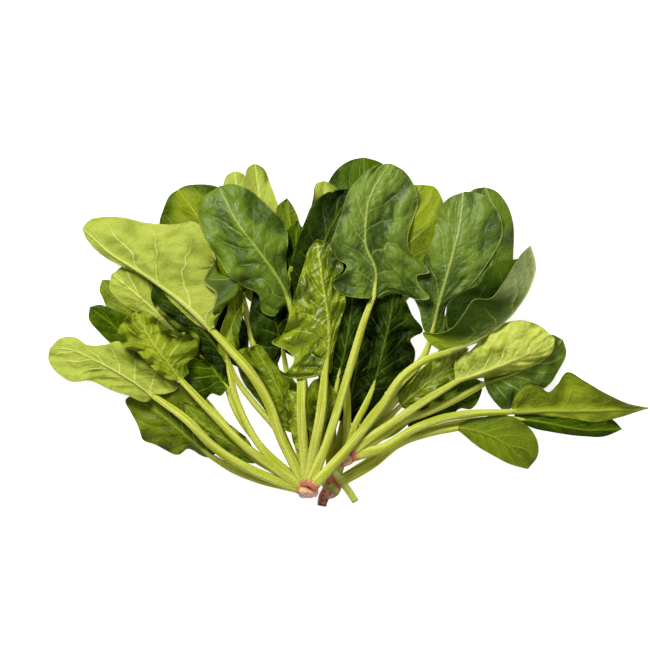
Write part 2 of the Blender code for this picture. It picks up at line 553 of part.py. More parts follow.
def relaxed(required, steps):
    """A lift that is nowhere less than required and fades smoothly round it, no steeper than the
    leaf can bend. A stem is lifted evenly across its width. steps are the lengths between rows."""
    lift = required.copy()
    for _ in range(SHEET_PASSES):
        before = np.vstack([lift[:1], lift[:-1]])
        after = np.vstack([lift[1:], lift[-1:]])
        left = np.hstack([lift[:, :1], lift[:, :-1]])
        right = np.hstack([lift[:, 1:], lift[:, -1:]])
        own, along, beside = SHEET_WEIGHTS
        lift = own * lift + along * (before + after) + beside * (left + right)
        lift[:len(STEM_AT) + 1] = lift[:len(STEM_AT) + 1].max(axis=1, keepdims=True)
        lift = np.maximum(lift, required)
    slope = np.where(np.arange(len(steps)) < len(STEM_AT), STEM_SLOPE, BLADE_SLOPE)
    fall = (slope * steps)[:, None]
    for i in range(1, len(lift)):
        lift[i] = np.maximum(lift[i], lift[i - 1] - fall[i - 1])
    for i in range(len(lift) - 2, -1, -1):
        lift[i] = np.maximum(lift[i], lift[i + 1] - fall[i])
    lift[:len(STEM_AT) + 1] = lift[:len(STEM_AT) + 1].max(axis=1, keepdims=True)
    return lift


def settle(sections, rows, pile):
    """Lifts a leaf until it is clear of the pile, adds it to the pile and returns its points."""
    faces = band_faces(rows)
    row = faces // LOOP
    column = np.array([column_of(k) for k in range(LOOP)])[faces % LOOP]
    required = np.zeros((rows, COLUMNS))
    lift = np.zeros_like(required)
    for _ in range(SETTLE_ROUNDS):
        points = sections(lift).reshape(-1, 3)
        need = pile.shortfall(points[faces])
        if need.max() < NEAR_ENOUGH:
            break
        rise = np.where(need > 0, lift[row, column] + need, 0.0)
        np.maximum.at(required, (row, column), rise)
        middle = points.reshape(rows, LOOP, 3)[:, :, :2].mean(axis=1)
        lift = relaxed(required, np.linalg.norm(np.diff(middle, axis=0), axis=1))
    pile.add(points[faces])
    return points, faces


def ring_solid(rings):
    """Triangles of a closed body with the rings' points as its sections."""
    sides = len(rings[0])
    points = np.concatenate(rings)
    faces = []
    for i in range(len(rings) - 1):
        for k in range(sides):
            n = (k + 1) % sides
            a, b = i * sides + k, i * sides + n
            faces += [(a, b, b + sides), (a, b + sides, a + sides)]
    last = (len(rings) - 1) * sides
    for k in range(1, sides - 1):
        faces.append((0, k + 1, k))
        faces.append((last, last + k, last + k + 1))
    return points, np.array(faces)


def crown_body(one):
    """Rings across the crown's axis. The lowest part is cut flat, so that the crown can rest."""
    top = max(one["stem_heights"]) + SHEATH_HALF[1] + CROWN_ROOM
    low = one["underside"]
    middle = (low + top) / 2
    cut = CROWN_CUT * (top - low)
    widest = max(one["half_widths"])
    turn = 2 * math.pi * (np.arange(CROWN_SIDES) + 0.5) / CROWN_SIDES
    centres = np.array(one["centres"], float)
    ahead = unit(np.gradient(centres, axis=0))
    rings = []
    for (x, y), (ax, ay), half in zip(centres, ahead, one["half_widths"]):
        across = half * np.cos(turn)
        slim = half / widest
        height = middle if low > 0 else middle * slim
        z = height + (top - low) / 2 * slim * np.sin(turn)
        z = np.maximum(z, low + cut) - cut
        rings.append(np.column_stack([x - ay * across, y + ax * across, z]))
    return ring_solid(rings)


def stem_start(one):
    """Where a leaf's stem leaves its crown: on the half ring, at the one of the crown's angles that
    is nearest to the stem's heading."""
    grown_from = CROWNS[one["crown"]]
    middle = np.array(grown_from["middle"], float)
    x, y = np.array((one["stem"] + one["rib"])[0]) - middle
    heading = math.degrees(math.atan2(y, x)) % 360
    turn = math.radians(min(grown_from["angles"], key=lambda angle: abs(angle - heading)))
    return (middle[0] + MOUTH[0] * math.cos(turn), middle[1] + MOUTH[1] * math.sin(turn),
            grown_from["underside"] + LOWEST_STEM)


def material(tint):
    made = bpy.data.materials.get(tint)
    if made:
        return made
    made = bpy.data.materials.new(tint)
    made.use_nodes = True
    surface = made.node_tree.nodes["Principled BSDF"]
    srgb = np.array(TINTS[tint]) / 255
    linear = np.where(srgb <= 0.04045, srgb / 12.92, ((srgb + 0.055) / 1.055) ** 2.4)
    surface.inputs["Base Color"].default_value = (*linear, 1.0)
    surface.inputs["Roughness"].default_value = 0.45
    surface.inputs["Metallic"].default_value = 0.0
    return made


def add_object(name, points, faces, tint):
    """A mesh object whose origin is its first section's middle."""
    origin = points[:LOOP].mean(axis=0)
    mesh = bpy.data.meshes.new(name)
    mesh.from_pydata(((points - origin) * MM).tolist(), [], faces.tolist())
    mesh.materials.append(material(tint))
    made = bpy.data.objects.new(name, mesh)
    made.location = Vector(origin * MM)
    bpy.context.collection.objects.link(made)
    return made


def stalk_sections(lift):
    """The loose length of cut stem that lies across the low crown."""
    at = np.array(STEM_AT)
    rows = stem_rows(STALK_PATH, np.full(len(at), STALK_HALF[0]), np.full(len(at), STALK_HALF[1]), at)
    rows[:, :, 2] += lift[:, COLUMNS // 2, None]
    return rows


def main():
    for old in list(bpy.data.objects):
        bpy.data.objects.remove(old)
    lay_out()
    pile = Pile()
    parts = []
    for one in LEAVES:
        grown_from = CROWNS[one["crown"]]
        if not grown_from["stem_heights"] and one["crown"] == "high":
            grown_from["underside"] = pile.highest(grown_from["middle"], MOUTH[0]) + CLEARANCE
        one["base"] = stem_start(one)
        points, faces = settle(lambda lift: leaf_sections(one, lift),
                               len(STEM_AT) + len(BLADE_AT), pile)
        parts.append((one["name"], points, faces, one["tint"]))
        grown_from["stem_heights"].append(points[:LOOP, 2].mean())
        if one is [other for other in LEAVES if other["crown"] == one["crown"]][-1]:
            points, faces = crown_body(grown_from)
            pile.add(points[faces])
            parts.append((grown_from["name"], points, faces, grown_from["tint"]))
        if one["name"] == STALK_AFTER:
            points, faces = settle(stalk_sections, len(STEM_AT), pile)
            parts.append(("cut_stalk", points, faces, "stalk"))
    everything = np.concatenate([points for _, points, _, _ in parts])
    low, high = everything.min(axis=0), everything.max(axis=0)
    middle = np.array([(low[0] + high[0]) / 2, (low[1] + high[1]) / 2, low[2]])
    for name, points, faces, tint in parts:
        add_object(name, points - middle, faces, tint)


main()
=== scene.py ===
"""A cut bunch of spinach, fanned out on a pale table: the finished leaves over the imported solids.

Each leaf is worked out again in full from the same few curves as its solid: stem, midrib and the
two margins of its blade, in millimetres seen from above. It gets its veins, puckers and frills, is
laid on what lies below it, and takes its solid's place.
"""

import math

import bpy
import numpy as np
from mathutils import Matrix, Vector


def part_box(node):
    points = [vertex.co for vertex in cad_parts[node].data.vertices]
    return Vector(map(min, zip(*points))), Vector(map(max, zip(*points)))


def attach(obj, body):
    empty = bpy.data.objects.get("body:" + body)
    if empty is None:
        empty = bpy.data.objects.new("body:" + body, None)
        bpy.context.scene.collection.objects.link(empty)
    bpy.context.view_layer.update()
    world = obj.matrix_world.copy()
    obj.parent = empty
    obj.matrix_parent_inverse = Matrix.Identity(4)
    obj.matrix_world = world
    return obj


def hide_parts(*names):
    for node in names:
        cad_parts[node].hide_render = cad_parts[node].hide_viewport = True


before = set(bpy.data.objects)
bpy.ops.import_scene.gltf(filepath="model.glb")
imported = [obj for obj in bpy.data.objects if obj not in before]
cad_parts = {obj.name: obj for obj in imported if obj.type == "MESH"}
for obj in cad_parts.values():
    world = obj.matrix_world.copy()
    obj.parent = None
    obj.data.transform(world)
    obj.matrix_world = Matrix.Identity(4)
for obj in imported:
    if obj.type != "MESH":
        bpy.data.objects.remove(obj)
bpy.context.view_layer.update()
MM = 0.001

# ---- The table, the light and the lens ----------------------------------------------------------
# The bunch lies on a white table under a broad soft light, and is seen from straight above through
# a long lens, a little off its middle.
VIEW_WIDTH = 520.0
VIEW_MIDDLE = (-18.3, 5.5)
LENS_HEIGHT = 2600.0
PILE_MIDDLE = 20.0      # the view is as wide as VIEW_WIDTH at this height
SENSOR = 36.0
TABLE_HALF = 4000.0

lens = bpy.data.cameras.new("lens")
lens.sensor_width = SENSOR
lens.lens = SENSOR * (LENS_HEIGHT - PILE_MIDDLE) / VIEW_WIDTH
lens.clip_end = 20.0
camera = bpy.data.objects.new("camera", lens)
camera.location = (VIEW_MIDDLE[0] * MM, VIEW_MIDDLE[1] * MM, LENS_HEIGHT * MM)
bpy.context.scene.collection.objects.link(camera)
bpy.context.scene.camera = camera
bpy.context.scene.view_settings.view_transform = "Standard"


def linear(srgb):
    """Scene-linear colour of an sRGB colour from 0 to 255: the sRGB curve undone."""
    c = np.asarray(srgb, float) / 255
    return (*np.where(c <= 0.04045, c / 12.92, ((c + 0.055) / 1.055) ** 2.4), 1.0)


def new_material(name):
    """A material with an empty node tree but for a Principled shader, and that shader."""
    made = bpy.data.materials.new(name)
    made.use_nodes = True
    return made, made.node_tree.nodes["Principled BSDF"]


def mesh_object(name, points, faces):
    """A mesh object at the origin, from points in millimetres in the part's frame."""
    mesh = bpy.data.meshes.new(name)
    mesh.from_pydata((np.asarray(points) * MM).tolist(), [], faces)
    mesh.polygons.foreach_set("use_smooth", np.full(len(mesh.polygons), True))
    made = bpy.data.objects.new(name, mesh)
    bpy.context.scene.collection.objects.link(made)
    return made


corners = [(x * TABLE_HALF, y * TABLE_HALF, 0) for x, y in ((-1, -1), (1, -1), (1, 1), (-1, 1))]
table_top = mesh_object("table_top", corners, [(0, 1, 2, 3)])
table_white, shader = new_material("table_white")
shader.inputs["Base Color"].default_value = (0.6, 0.6, 0.6, 1)
shader.inputs["Roughness"].default_value = 0.9
shader.inputs["Specular IOR Level"].default_value = 0.0
shader.inputs["Emission Color"].default_value = (1, 1, 1, 1)
shader.inputs["Emission Strength"].default_value = 0.84
table_top.data.materials.append(table_white)


def soft_box(name, place, size, power, target=(0.0, 0.0, 0.0)):
    """A square area light at a place in metres, turned to its target."""
    light = bpy.data.lights.new(name, "AREA")
    light.size = size
    light.energy = power
    made = bpy.data.objects.new(name, light)
    made.location = place
    away = np.array(place) - np.array(target)
    made.rotation_euler = (math.acos(away[2] / np.linalg.norm(away)), 0.0,
                           math.atan2(away[1], away[0]) + math.pi / 2)
    bpy.context.scene.collection.objects.link(made)


soft_box("key_light", (-0.8, 1.2, 1.3), 0.7, 51.0)
soft_box("fill_light", (0.9, -0.5, 1.4), 1.6, 10.0)
world = bpy.data.worlds.new("studio")
world.use_nodes = True
world.node_tree.nodes["Background"].inputs["Color"].default_value = (1, 1, 1, 1)
world.node_tree.nodes["Background"].inputs["Strength"].default_value = 0.1
bpy.context.scene.world = world

# ---- The plan of the bunch ----------------------------------------------------------------------
# Three plants were cut through their crowns and fanned out. Every leaf is listed from the lowest to
# the uppermost, as in the solids: its crown, the side that looks up, tint, half the width of its
# stem, the curves, how far the margins stand above the rib, and the height and number of waves.
# The finish called deep is near black, in part painted shade of leaves that lie deep in the pile.
LEAVES = []
CROWNS = {}
MOUTH = 3.6             # the stems of a crown meet this near to its middle, at their own angles
CROWN_REACH = 9.8       # half width of the room that a crown takes
LOWEST_STEM = 1.5
CLEARANCE = 0.4         # height left between a leaf and what it lies on


def leaf(name, crown, face, tint, half_width, stem, rib, left, right, cup, ruffle, skin,
         shade=None, hems=()):
    """One leaf. Points are (x, y) in millimetres, and a margin's point may add its own height. The
    shade is its finish where that isn't the plain one of its tint. A hem is a stretch of the blade
    that is turned over: its side, the shares of the length where it starts and ends, its width, and
    1 where it lies on the blade or -1 where it lies beneath."""
    LEAVES.append(dict(name="leaf_" + name, crown=crown, face=face, tint=tint, half_width=half_width,
                       stem=stem, rib=rib, left=left, right=right, cup=cup, ruffle=ruffle, skin=skin,
                       shade=shade or tint, hems=hems))


def crown(name, tint, middle, angles, centres, half_widths):
    """One crown, as rings round these centres from its cut end to its leaves."""
    CROWNS[name] = dict(name="crown_" + name, tint=tint, middle=middle, angles=angles,
                        centres=centres, half_widths=half_widths, stem_heights=[], underside=0.0)


crown("left", "crown", (-32, -126), (168, 150, 134, 117, 100, 84, 68, 47),
      [(-33, -132), (-33, -130.5), (-32.5, -128), (-32, -124.5), (-32, -122), (-32, -119.6)],
      (5.0, 7.4, 8.6, 8.3, 7.0, 4.2))
crown("low", "crown_green", (-13, -123), (92, 66, 31),
      [(-21, -139), (-20, -134), (-18.5, -130.5), (-15.5, -127.5), (-13, -123), (-13, -116.6)],
      (3.6, 4.0, 4.8, 7.6, 8.2, 4.2))
crown("high", "crown", (-1, -99), (94, 72, 50, 28, 8),
      [(-7, -105.5), (-6, -104), (-3.8, -101.5), (-1, -98.5), (2.6, -94.4)],
      (3.5, 5.5, 7.0, 7.2, 4.0))

leaf("far_left_mid", "left", "under", "mid", 2.6,
     [(-86, -87), (-111, -59), (-134, -32)],
     [(-153, -7), (-172, 12), (-185, 26), (-198, 43)],
     [(-160, -5), (-179, 8), (-193, 19), (-197, 28), (-200, 37)],
     [(-150, 5), (-163, 27), (-178, 40), (-191, 43)],
     cup=(4, 4), ruffle=(2, 4), skin="smooth"),
leaf("far_left_dark", "left", "top", "dark", 2.8,
     [(-78, -111), (-108, -92), (-131, -63), (-148, -39)],
     [(-158, -24), (-174, -9), (-190, 8), (-208, 21)],
     [(-161, -31), (-177, -22), (-191, -8), (-201, 2), (-209, 13)],
     [(-153, -13), (-163, 5), (-177, 14), (-190, 20), (-200, 23)],
     cup=(-4, -4), ruffle=(2, 3), skin="soft"),
leaf("far_left_oval", "left", "under", "pale", 2.8,
     [(-87, -88), (-113, -61), (-127, -35)],
     [(-131, -9), (-145, 8), (-168, 30), (-190, 48)],
     [(-137, -9), (-153, 5), (-168, 16), (-182, 25), (-192, 38)],
     [(-121, -3), (-129, 10), (-138, 24), (-149, 39), (-161, 50), (-177, 56)],
     cup=(-10, -10), ruffle=(1, 3), skin="smooth"),
leaf("low_left", "left", "top", "olive", 3.0,
     [(-70, -118), (-91, -110)],
     [(-110, -99), (-128, -84), (-149, -66), (-175, -50)],
     [(-116, -99), (-130, -93), (-135, -97), (-156, -89),
      (-165, -86), (-168, -77), (-175, -63), (-179, -53)],
     [(-102, -93), (-108, -76), (-117, -56), (-139, -38), (-163, -39)],
     cup=(-7, 5), ruffle=(3, 5), skin="soft"),
leaf("top_dark", "low", "top", "dark", 2.8,
     [(0, -55), (10, -7)],
     [(13, 33), (13, 73), (12, 105), (13, 142)],
     [(4, 41), (-9, 65), (-17, 93), (-17, 119), (-9, 132), (3, 140)],
     [(23, 41), (36, 69), (41, 101), (38, 126), (26, 138)],
     cup=(-8, -8), ruffle=(2, 4), skin="plain", shade="dark"),
leaf("far_right_under", "low", "top", "dark", 2.6,
     [(34, -93), (72, -76), (112, -69)],
     [(133, -68), (156, -71), (188, -77), (221, -77)],
     [(136, -63), (160, -61), (192, -63), (214, -70)],
     [(136, -70), (149, -76), (166, -79.5), (188, -82.5), (208, -82.5)],
     cup=(-2, -4), ruffle=(1, 3), skin="smooth"),
leaf("top_pale", "low", "under", "pale", 2.6,
     [(10, -63), (28, -11)],
     [(34, 21), (39, 56), (45, 88), (59, 120)],
     [(32, 28), (34, 56), (39, 90), (44, 108), (51, 119)],
     [(45, 25), (60, 51), (71, 74), (77, 95), (76, 108), (70, 118)],
     cup=(-6, -5), ruffle=(1, 3), skin="smooth", shade="lime"),
leaf("mid_folded", "low", "under", "pale", 2.2,
     [(-12, -55), (-11, 1)],
     [(-11, 33), (-12, 61), (-17, 93), (-19, 123)],
     [(-16, 37), (-24, 61), (-31, 88), (-28, 109), (-25, 121)],
     [(-4, 40), (-1, 65), (-4, 93), (-9, 117)],
     cup=(8, 5), ruffle=(2, 3), skin="smooth"),
leaf("left_tip_low", "left", "top", "pale", 2.4,
     [(-53, -80), (-64, -47), (-72, -8)],
     [(-76, 25), (-82, 64), (-88, 99), (-91, 131)],
     [(-81, 28), (-91, 61), (-99, 94), (-101, 117), (-97, 128)],
     [(-70, 28), (-70, 65), (-74, 98), (-80, 121), (-85, 129)],
     cup=(-5, -5), ruffle=(2, 3), skin="smooth"),
leaf("left_tip_long", "left", "top", "pale", 2.4,
     [(-40, -80), (-52, -47), (-62, -11)],
     [(-64, 21), (-65, 57), (-70, 99), (-75, 137)],
     [(-70, 25), (-75, 61), (-81, 99), (-83, 123), (-80, 134)],
     [(-57, 27), (-52, 65), (-55, 98), (-62, 119), (-69, 134)],
     cup=(7, -5), ruffle=(2, 3), skin="smooth"),
leaf("left_tip_small", "left", "top", "mid", 2.2,
     [(-30, -80), (-35, -39), (-40, -7)],
     [(-41, 21), (-43, 53), (-46, 83), (-49, 109)],
     [(-46, 25), (-52, 57), (-57, 86), (-56, 103)],
     [(-35, 25), (-34, 56), (-38, 85), (-44, 102)],
     cup=(-4, -4), ruffle=(1, 3), skin="soft"),
leaf("left_round", "left", "top", "lime", 3.2,
     [(-55, -80), (-64, -51), (-76, -7)],
     [(-85, 32), (-102, 65), (-120, 93), (-137, 116)],
     [(-94, 33), (-123, 51), (-145, 72), (-152, 88), (-148, 102), (-143, 112)],
     [(-75, 41), (-76, 73), (-87, 101), (-105, 118), (-121, 120), (-131, 119)],
     cup=(-8, -10), ruffle=(3, 5), skin="smooth", shade="gold"),
leaf("left_under", "left", "top", "mid", 2.6,
     [(-73, -87), (-91, -61)],
     [(-97, -44), (-108, -29), (-117, -15), (-123, 0)],
     [(-102, -50), (-109, -48), (-117, -55), (-127, -47), (-135, -34), (-133, -14)],
     [(-93, -34), (-96, -16), (-104, -2), (-115, 4)],
     cup=(-5, -4), ruffle=(3, 4), skin="quilted", shade="dark"),
leaf("left_ruffled", "left", "top", "dark", 2.8,
     [(-73, -87), (-89, -55)],
     [(-96, -24), (-107, -9), (-127, 14), (-156, 40)],
     [(-100, -28), (-113, -23), (-121, -15), (-121, -5), (-130, 0), (-146, 12), (-158, 30)],
     [(-84, -28), (-80, -11), (-83, 10), (-97, 26), (-118, 37), (-141, 43)],
     cup=(-5, -5), ruffle=(4, 6), skin="quilted", shade="deep",
     hems=[("left", 0.15, 0.9, 3, 1)]),
leaf("left_deep", "left", "top", "dark", 2.4,
     [(-43, -75), (-48, -39)],
     [(-52, -15), (-57, 5), (-62, 25), (-65, 46)],
     [(-60, -30), (-72, -12), (-79, 9), (-77, 28), (-72, 42)],
     [(-40, -20), (-37, 8), (-43, 28), (-55, 42)],
     cup=(-4, -4), ruffle=(2, 5), skin="quilted", shade="deep"),
leaf("centre_deep", "low", "top", "deep", 2.4,
     [(-8, -87)],
     [(-4, -71), (4, -42), (9, -8), (14, 30)],
     [(-20, -66), (-24, -42), (-18, -8), (-4, 24)],
     [(14, -72), (28, -52), (31, -14), (30, 20)],
     cup=(-3, -3), ruffle=(2, 5), skin="quilted"),
leaf("mid_narrow", "left", "top", "dark", 2.4,
     [(-37, -75), (-36, -31)],
     [(-40, 5), (-42, 33), (-42, 61), (-41, 91)],
     [(-46, 8), (-50, 33), (-51, 61), (-48, 83)],
     [(-32, 9), (-32, 37), (-35, 65), (-36, 83)],
     cup=(-5, 5), ruffle=(2, 4), skin="quilted"),
leaf("mid_inner", "high", "top", "mid", 2.4,
     [(-1, -47), (-6, 1)],
     [(-6, 29), (-6, 56), (-5, 81), (2, 108)],
     [(-12, 33), (-19, 56), (-19, 77), (-12, 99)],
     [(0, 33), (7, 56), (10, 81), (10, 102)],
     cup=(6, 0), ruffle=(2, 3), skin="smooth", shade="dark"),
leaf("mid_rimmed", "low", "top", "deep", 2.8,
     [(-17, -59), (-22, -19)],
     [(-24, 8), (-26, 40), (-19, 73), (4, 116)],
     [(-33, 9), (-46, 23), (-49, 43), (-43, 66), (-36, 86), (-27, 105), (-12, 115)],
     [(-14, 17), (-6, 45), (-1, 73), (7, 101)],
     cup=(7, -4), ruffle=(2, 4), skin="soft",
     hems=[("left", 0.10, 0.95, 3, 1)]),
leaf("right_behind", "high", "top", "mid", 3.2,
     [(20, -74), (45, -46), (70, -21)],
     [(82, -5), (102, 25), (116, 61), (119, 90), (111, 118)],
     [(77, 1), (82, 25), (92, 56), (93, 86), (94, 107), (101, 116)],
     [(90, -3), (114, 17), (130, 41), (133, 65), (133, 88), (127, 106), (119, 115)],
     cup=(-5, -8), ruffle=(2, 4), skin="smooth", shade="sheen"),
leaf("right_shiny", "high", "top", "deep", 3.2,
     [(13, -75), (40, -43), (60, -20)],
     [(67, -4), (72, 20), (82, 57), (89, 84), (93, 114)],
     [(61, 3), (57, 20), (51, 34), (55, 50), (62, 63), (69, 78), (72, 98), (81, 109)],
     [(75, -1), (79, 22), (97, 37), (114, 60), (124, 80), (121, 97), (112, 109), (101, 114)],
     cup=(-8, -10), ruffle=(2, 4), skin="soft", shade="grey_top"),
leaf("centre_shiny", "high", "top", "deep", 2.6,
     [(6, -73), (14, -57)],
     [(19, -46), (23, -32), (29, -8), (34, 14), (37, 38)],
     [(12, -44), (8, -34), (16, -25), (18, -8), (10, 4), (12, 22), (24, 36)],
     [(32, -46), (40, -38), (52, -25), (54, -14), (50, -5), (60, 2), (52, 14), (44, 30)],
     cup=(-7, -8), ruffle=(4, 6), skin="crumpled"),
leaf("centre_dark", "left", "top", "dark", 2.4,
     [(-16, -75), (-11, -51)],
     [(-8, -36), (-3, -15), (1, 8), (5, 38)],
     [(-18, -44), (-21, -20), (-14, 4), (-4, 28)],
     [(-1, -38), (2, -20), (7, 1), (14, 26)],
     cup=(-4, -4), ruffle=(3, 5), skin="quilted", shade="deep"),
leaf("right_lobed", "high", "top", "dark", 2.4,
     [(24, -85), (37, -79)],
     [(47, -72), (64, -61), (84, -50), (109, -39)],
     [(45, -64), (58, -51), (80, -40), (95, -34)],
     [(52, -80), (66, -73), (82, -67), (91, -60), (98, -61), (107, -49)],
     cup=(-4, -5), ruffle=(3, 5), skin="soft"),
leaf("right_small", "high", "under", "mid", 2.4,
     [(23, -77), (32, -68)],
     [(42, -58), (56, -46), (74, -32), (97, -12)],
     [(41, -51), (51, -38), (64, -24), (84, -8)],
     [(47, -61), (63, -55), (79, -42), (94, -26)],
     cup=(5, -4), ruffle=(4, 5), skin="crumpled", shade="wet"),
leaf("left_twisted", "left", "under", "lime", 2.4,
     [(-55, -80), (-76, -55), (-91, -34)],
     [(-97, -20), (-96, -2), (-89, 17), (-88, 36)],
     [(-104, -15), (-103, -2), (-97, 16), (-93, 30)],
     [(-89, -16), (-87, 1), (-83, 21), (-84, 32)],
     cup=(10, 6), ruffle=(2, 3), skin="soft",
     hems=[("right", 0.1, 0.95, 5, 1)]),
leaf("low_left_crumpled", "left", "top", "deep", 2.6,
     [(-57, -111)],
     [(-73, -103), (-94, -88), (-115, -74), (-132, -55)],
     [(-78, -104), (-97, -95), (-116, -82), (-128, -67)],
     [(-75, -95), (-81, -84), (-96, -72), (-108, -62), (-123, -55)],
     cup=(-4, -5), ruffle=(4, 6), skin="crumpled", shade="mid"),
leaf("inner_dark", "left", "top", "deep", 2.2,
     [(-40, -93)],
     [(-43, -79), (-52, -53), (-64, -29), (-76, -10)],
     [(-52, -77), (-70, -57), (-87, -32), (-88, -14)],
     [(-33, -74), (-35, -56), (-43, -38), (-57, -27), (-66, -15), (-72, -9)],
     cup=(-2, -2), ruffle=(2, 6), skin="gathered", shade="mid"),
leaf("inner_bright", "left", "under", "lime", 2.0,
     [(-35, -108)],
     [(-36, -96), (-38, -79), (-41, -61), (-48, -45)],
     [(-41, -93), (-46, -77), (-50, -61), (-52, -50)],
     [(-30, -92), (-32, -74), (-33, -58), (-40, -47)],
     cup=(1, 1), ruffle=(2, 5), skin="gathered", shade="wet"),
leaf("right_grey", "high", "under", "grey", 3.0,
     [(24, -84), (42, -71), (64, -63), (88, -52)],
     [(110, -40), (136, -31), (159, -19), (173, -5)],
     [(109, -32), (130, -20), (152, -5), (164, -1)],
     [(112, -46), (118, -55), (127, -62), (136, -56), (147, -50), (162, -41), (170, -29), (176, -14)],
     cup=(5, -6), ruffle=(3, 5), skin="quilted", shade="sheen"),
leaf("low_right", "low", "under", "dark", 3.0,
     [(20, -105), (42, -88), (66, -80)],
     [(88, -76), (108, -80), (127, -89), (145, -109)],
     [(93, -71), (110, -67), (129, -66), (143, -73), (152, -85), (153, -98)],
     [(92, -80.5), (102, -89), (117, -98), (132, -105.5)],
     cup=(-5, 8), ruffle=(1, 3), skin="plain", shade="mid"),
leaf("far_left_low", "left", "under", "pale", 3.4,
     [(-78, -109), (-108, -90), (-129, -69)],
     [(-156, -50), (-173, -38), (-200, -23), (-224, -13), (-240, -12)],
     [(-160, -54), (-176, -50), (-190, -45), (-206, -38), (-223, -38), (-234, -31), (-241, -21)],
     [(-145, -48), (-136, -43), (-142, -31), (-158, -21), (-173, -12),
      (-184, -6), (-195, -9), (-210, -9), (-220, -3), (-232, -4)],
     cup=(7, -8), ruffle=(2, 4), skin="soft"),
leaf("far_left_crinkled", "left", "under", "lime", 3.2,
     [(-86, -87), (-111, -61)],
     [(-134, -37), (-144, -24), (-154, -11), (-163, 3), (-169, 18)],
     [(-142, -37), (-158, -26), (-167, -16), (-183, -6), (-184, 3), (-177, 13)],
     [(-128, -32), (-129, -24), (-120, -16), (-120, -8),
      (-131, 1), (-142, 3), (-156, 14), (-163, 18)],
     cup=(10, -8), ruffle=(5, 6), skin="crumpled",
     hems=[("right", 0.25, 0.8, 6, 1)]),
leaf("left_broad", "left", "under", "pale", 3.9,
     [(-55, -80), (-63, -57), (-79, -30), (-94, -13)],
     [(-108, 2), (-129, 22), (-164, 48), (-190, 64), (-214, 85)],
     [(-116, 4), (-139, 23), (-162, 45.5), (-181, 53.5), (-200, 65), (-211, 77)],
     [(-104, 12), (-97, 23), (-88, 32), (-87, 41), (-96, 46), (-103, 48), (-106, 60),
      (-112, 75), (-123, 90), (-139, 88), (-164, 89.5), (-182, 93.5), (-196, 94), (-209, 91)],
     cup=(-3, -7), ruffle=(2, 5), skin="smooth",
     hems=[("right", 0.06, 0.36, 19, 1)]),
leaf("far_right", "high", "under", "mid", 3.2,
     [(29, -91), (52, -77), (76, -68), (103, -64)],
     [(131, -63), (157, -62), (192, -62), (242, -60)],
     [(132, -56), (136, -47), (144, -41), (154, -43), (160, -47),
      (167, -41), (175, -31), (189, -38), (203, -46), (224, -56)],
     [(136, -64), (157, -66), (179, -68), (198, -71), (216, -68), (230, -64)],
     cup=(10, -7), ruffle=(2, 4), skin="smooth", shade="lime"),
leaf("right_pale", "high", "top", "bright", 3.2,
     [(17, -84), (39, -69), (64, -52)],
     [(87, -38), (105, -32), (126, -24), (148, -14), (166, -4)],
     [(85, -28), (88, -17), (96, -15), (104, -8), (113, 2), (126, 8.5), (138, 10.5), (153, 7)],
     [(104, -36), (120, -34), (138, -29), (156, -22), (165, -12)],
     cup=(-5, -12), ruffle=(2, 5), skin="quilted"),
leaf("left_crinkled", "left", "top", "deep", 3.9,
     [(-37, -71), (-38, -23)],
     [(-44, 16), (-52, 37), (-70, 64), (-88, 88), (-104, 118)],
     [(-51, 22), (-60, 14), (-69, 18), (-72, 32), (-84, 38), (-95, 46),
      (-104, 60), (-114, 76), (-120, 91), (-119, 104), (-112, 113)],
     [(-45, 28), (-48, 44), (-50, 60), (-48, 76), (-52, 90),
      (-61, 99), (-70, 108), (-83, 117), (-94, 120)],
     cup=(-8, -10), ruffle=(3, 5), skin="soft", shade="sheen"),
leaf("inner_small", "left", "top", "mid", 2.0,
     [(-22, -95)],
     [(-20, -80), (-18, -66), (-16, -52), (-16, -36)],
     [(-30, -78), (-34, -62), (-33, -46), (-27, -37)],
     [(-15, -77), (-9, -63), (-9, -52)],
     cup=(1, 1), ruffle=(1, 4), skin="soft"),
leaf("centre_bright", "left", "top", "lime", 4.0,
     [(-28, -96), (-22, -64)],
     [(-19, -33), (-16, -15), (-16, 11), (-20, 37), (-25, 75)],
     [(-25, -34), (-36, -36), (-51, -33), (-46, -27), (-43, -21), (-48, -14), (-61, -7),
      (-52, 0), (-48, 11), (-44, 27), (-40, 40), (-35, 56), (-31, 68)],
     [(-15, -32), (-12, -16), (-9, -2), (-6, 11), (-2, 24),
      (-4, 35), (-8, 44), (-4, 52), (-9, 64), (-17, 73)],
     cup=(-7, -7), ruffle=(4, 6), skin="crumpled", shade="wet"),
leaf("top_main", "left", "top", "grey_top", 3.2,
     [(-12, -72), (-2, -39), (4, -19), (13, 11)],
     [(20, 28), (22, 51), (14, 71), (14, 88), (17, 108), (25, 124), (34, 137)],
     [(15, 28), (4, 29), (-7, 32), (-13, 40), (-4, 48), (-1, 54), (-9, 60),
      (-14, 69), (-10, 83), (-5, 98), (1, 115), (11, 127), (22, 135)],
     [(24, 28), (34, 32), (45, 31), (56, 27), (65, 28), (57, 39), (55, 46), (65, 49),
      (60, 56), (50, 65), (48, 79), (52, 91), (56, 104), (54, 117), (46, 130)],
     cup=(-8, -10), ruffle=(3, 5), skin="quilted"),
leaf("right_folded", "left", "under", "dark", 3.4,
     [(1, -90), (26, -59), (45, -33), (64, -20)],
     [(80, -15), (101, -7), (121, 5), (136, 20), (146, 36), (151, 54), (147, 71)],
     [(71, -12, 0), (60, 1, 5), (71, 0, 10), (82, 4, 14), (92, 16, 17),
      (100, 27, 18), (113, 28, 18), (123, 39, 15), (133, 55, 10), (141, 66, 5)],
     [(82, -5, -2), (79, 11, 0), (80, 25, 4), (92, 34, 6), (103, 39, 7),
      (112, 52, 7), (123, 59, 6), (136, 60, 3), (144, 65, 2)],
     cup=(0, 0), ruffle=(1, 4), skin="smooth", shade="folded"),


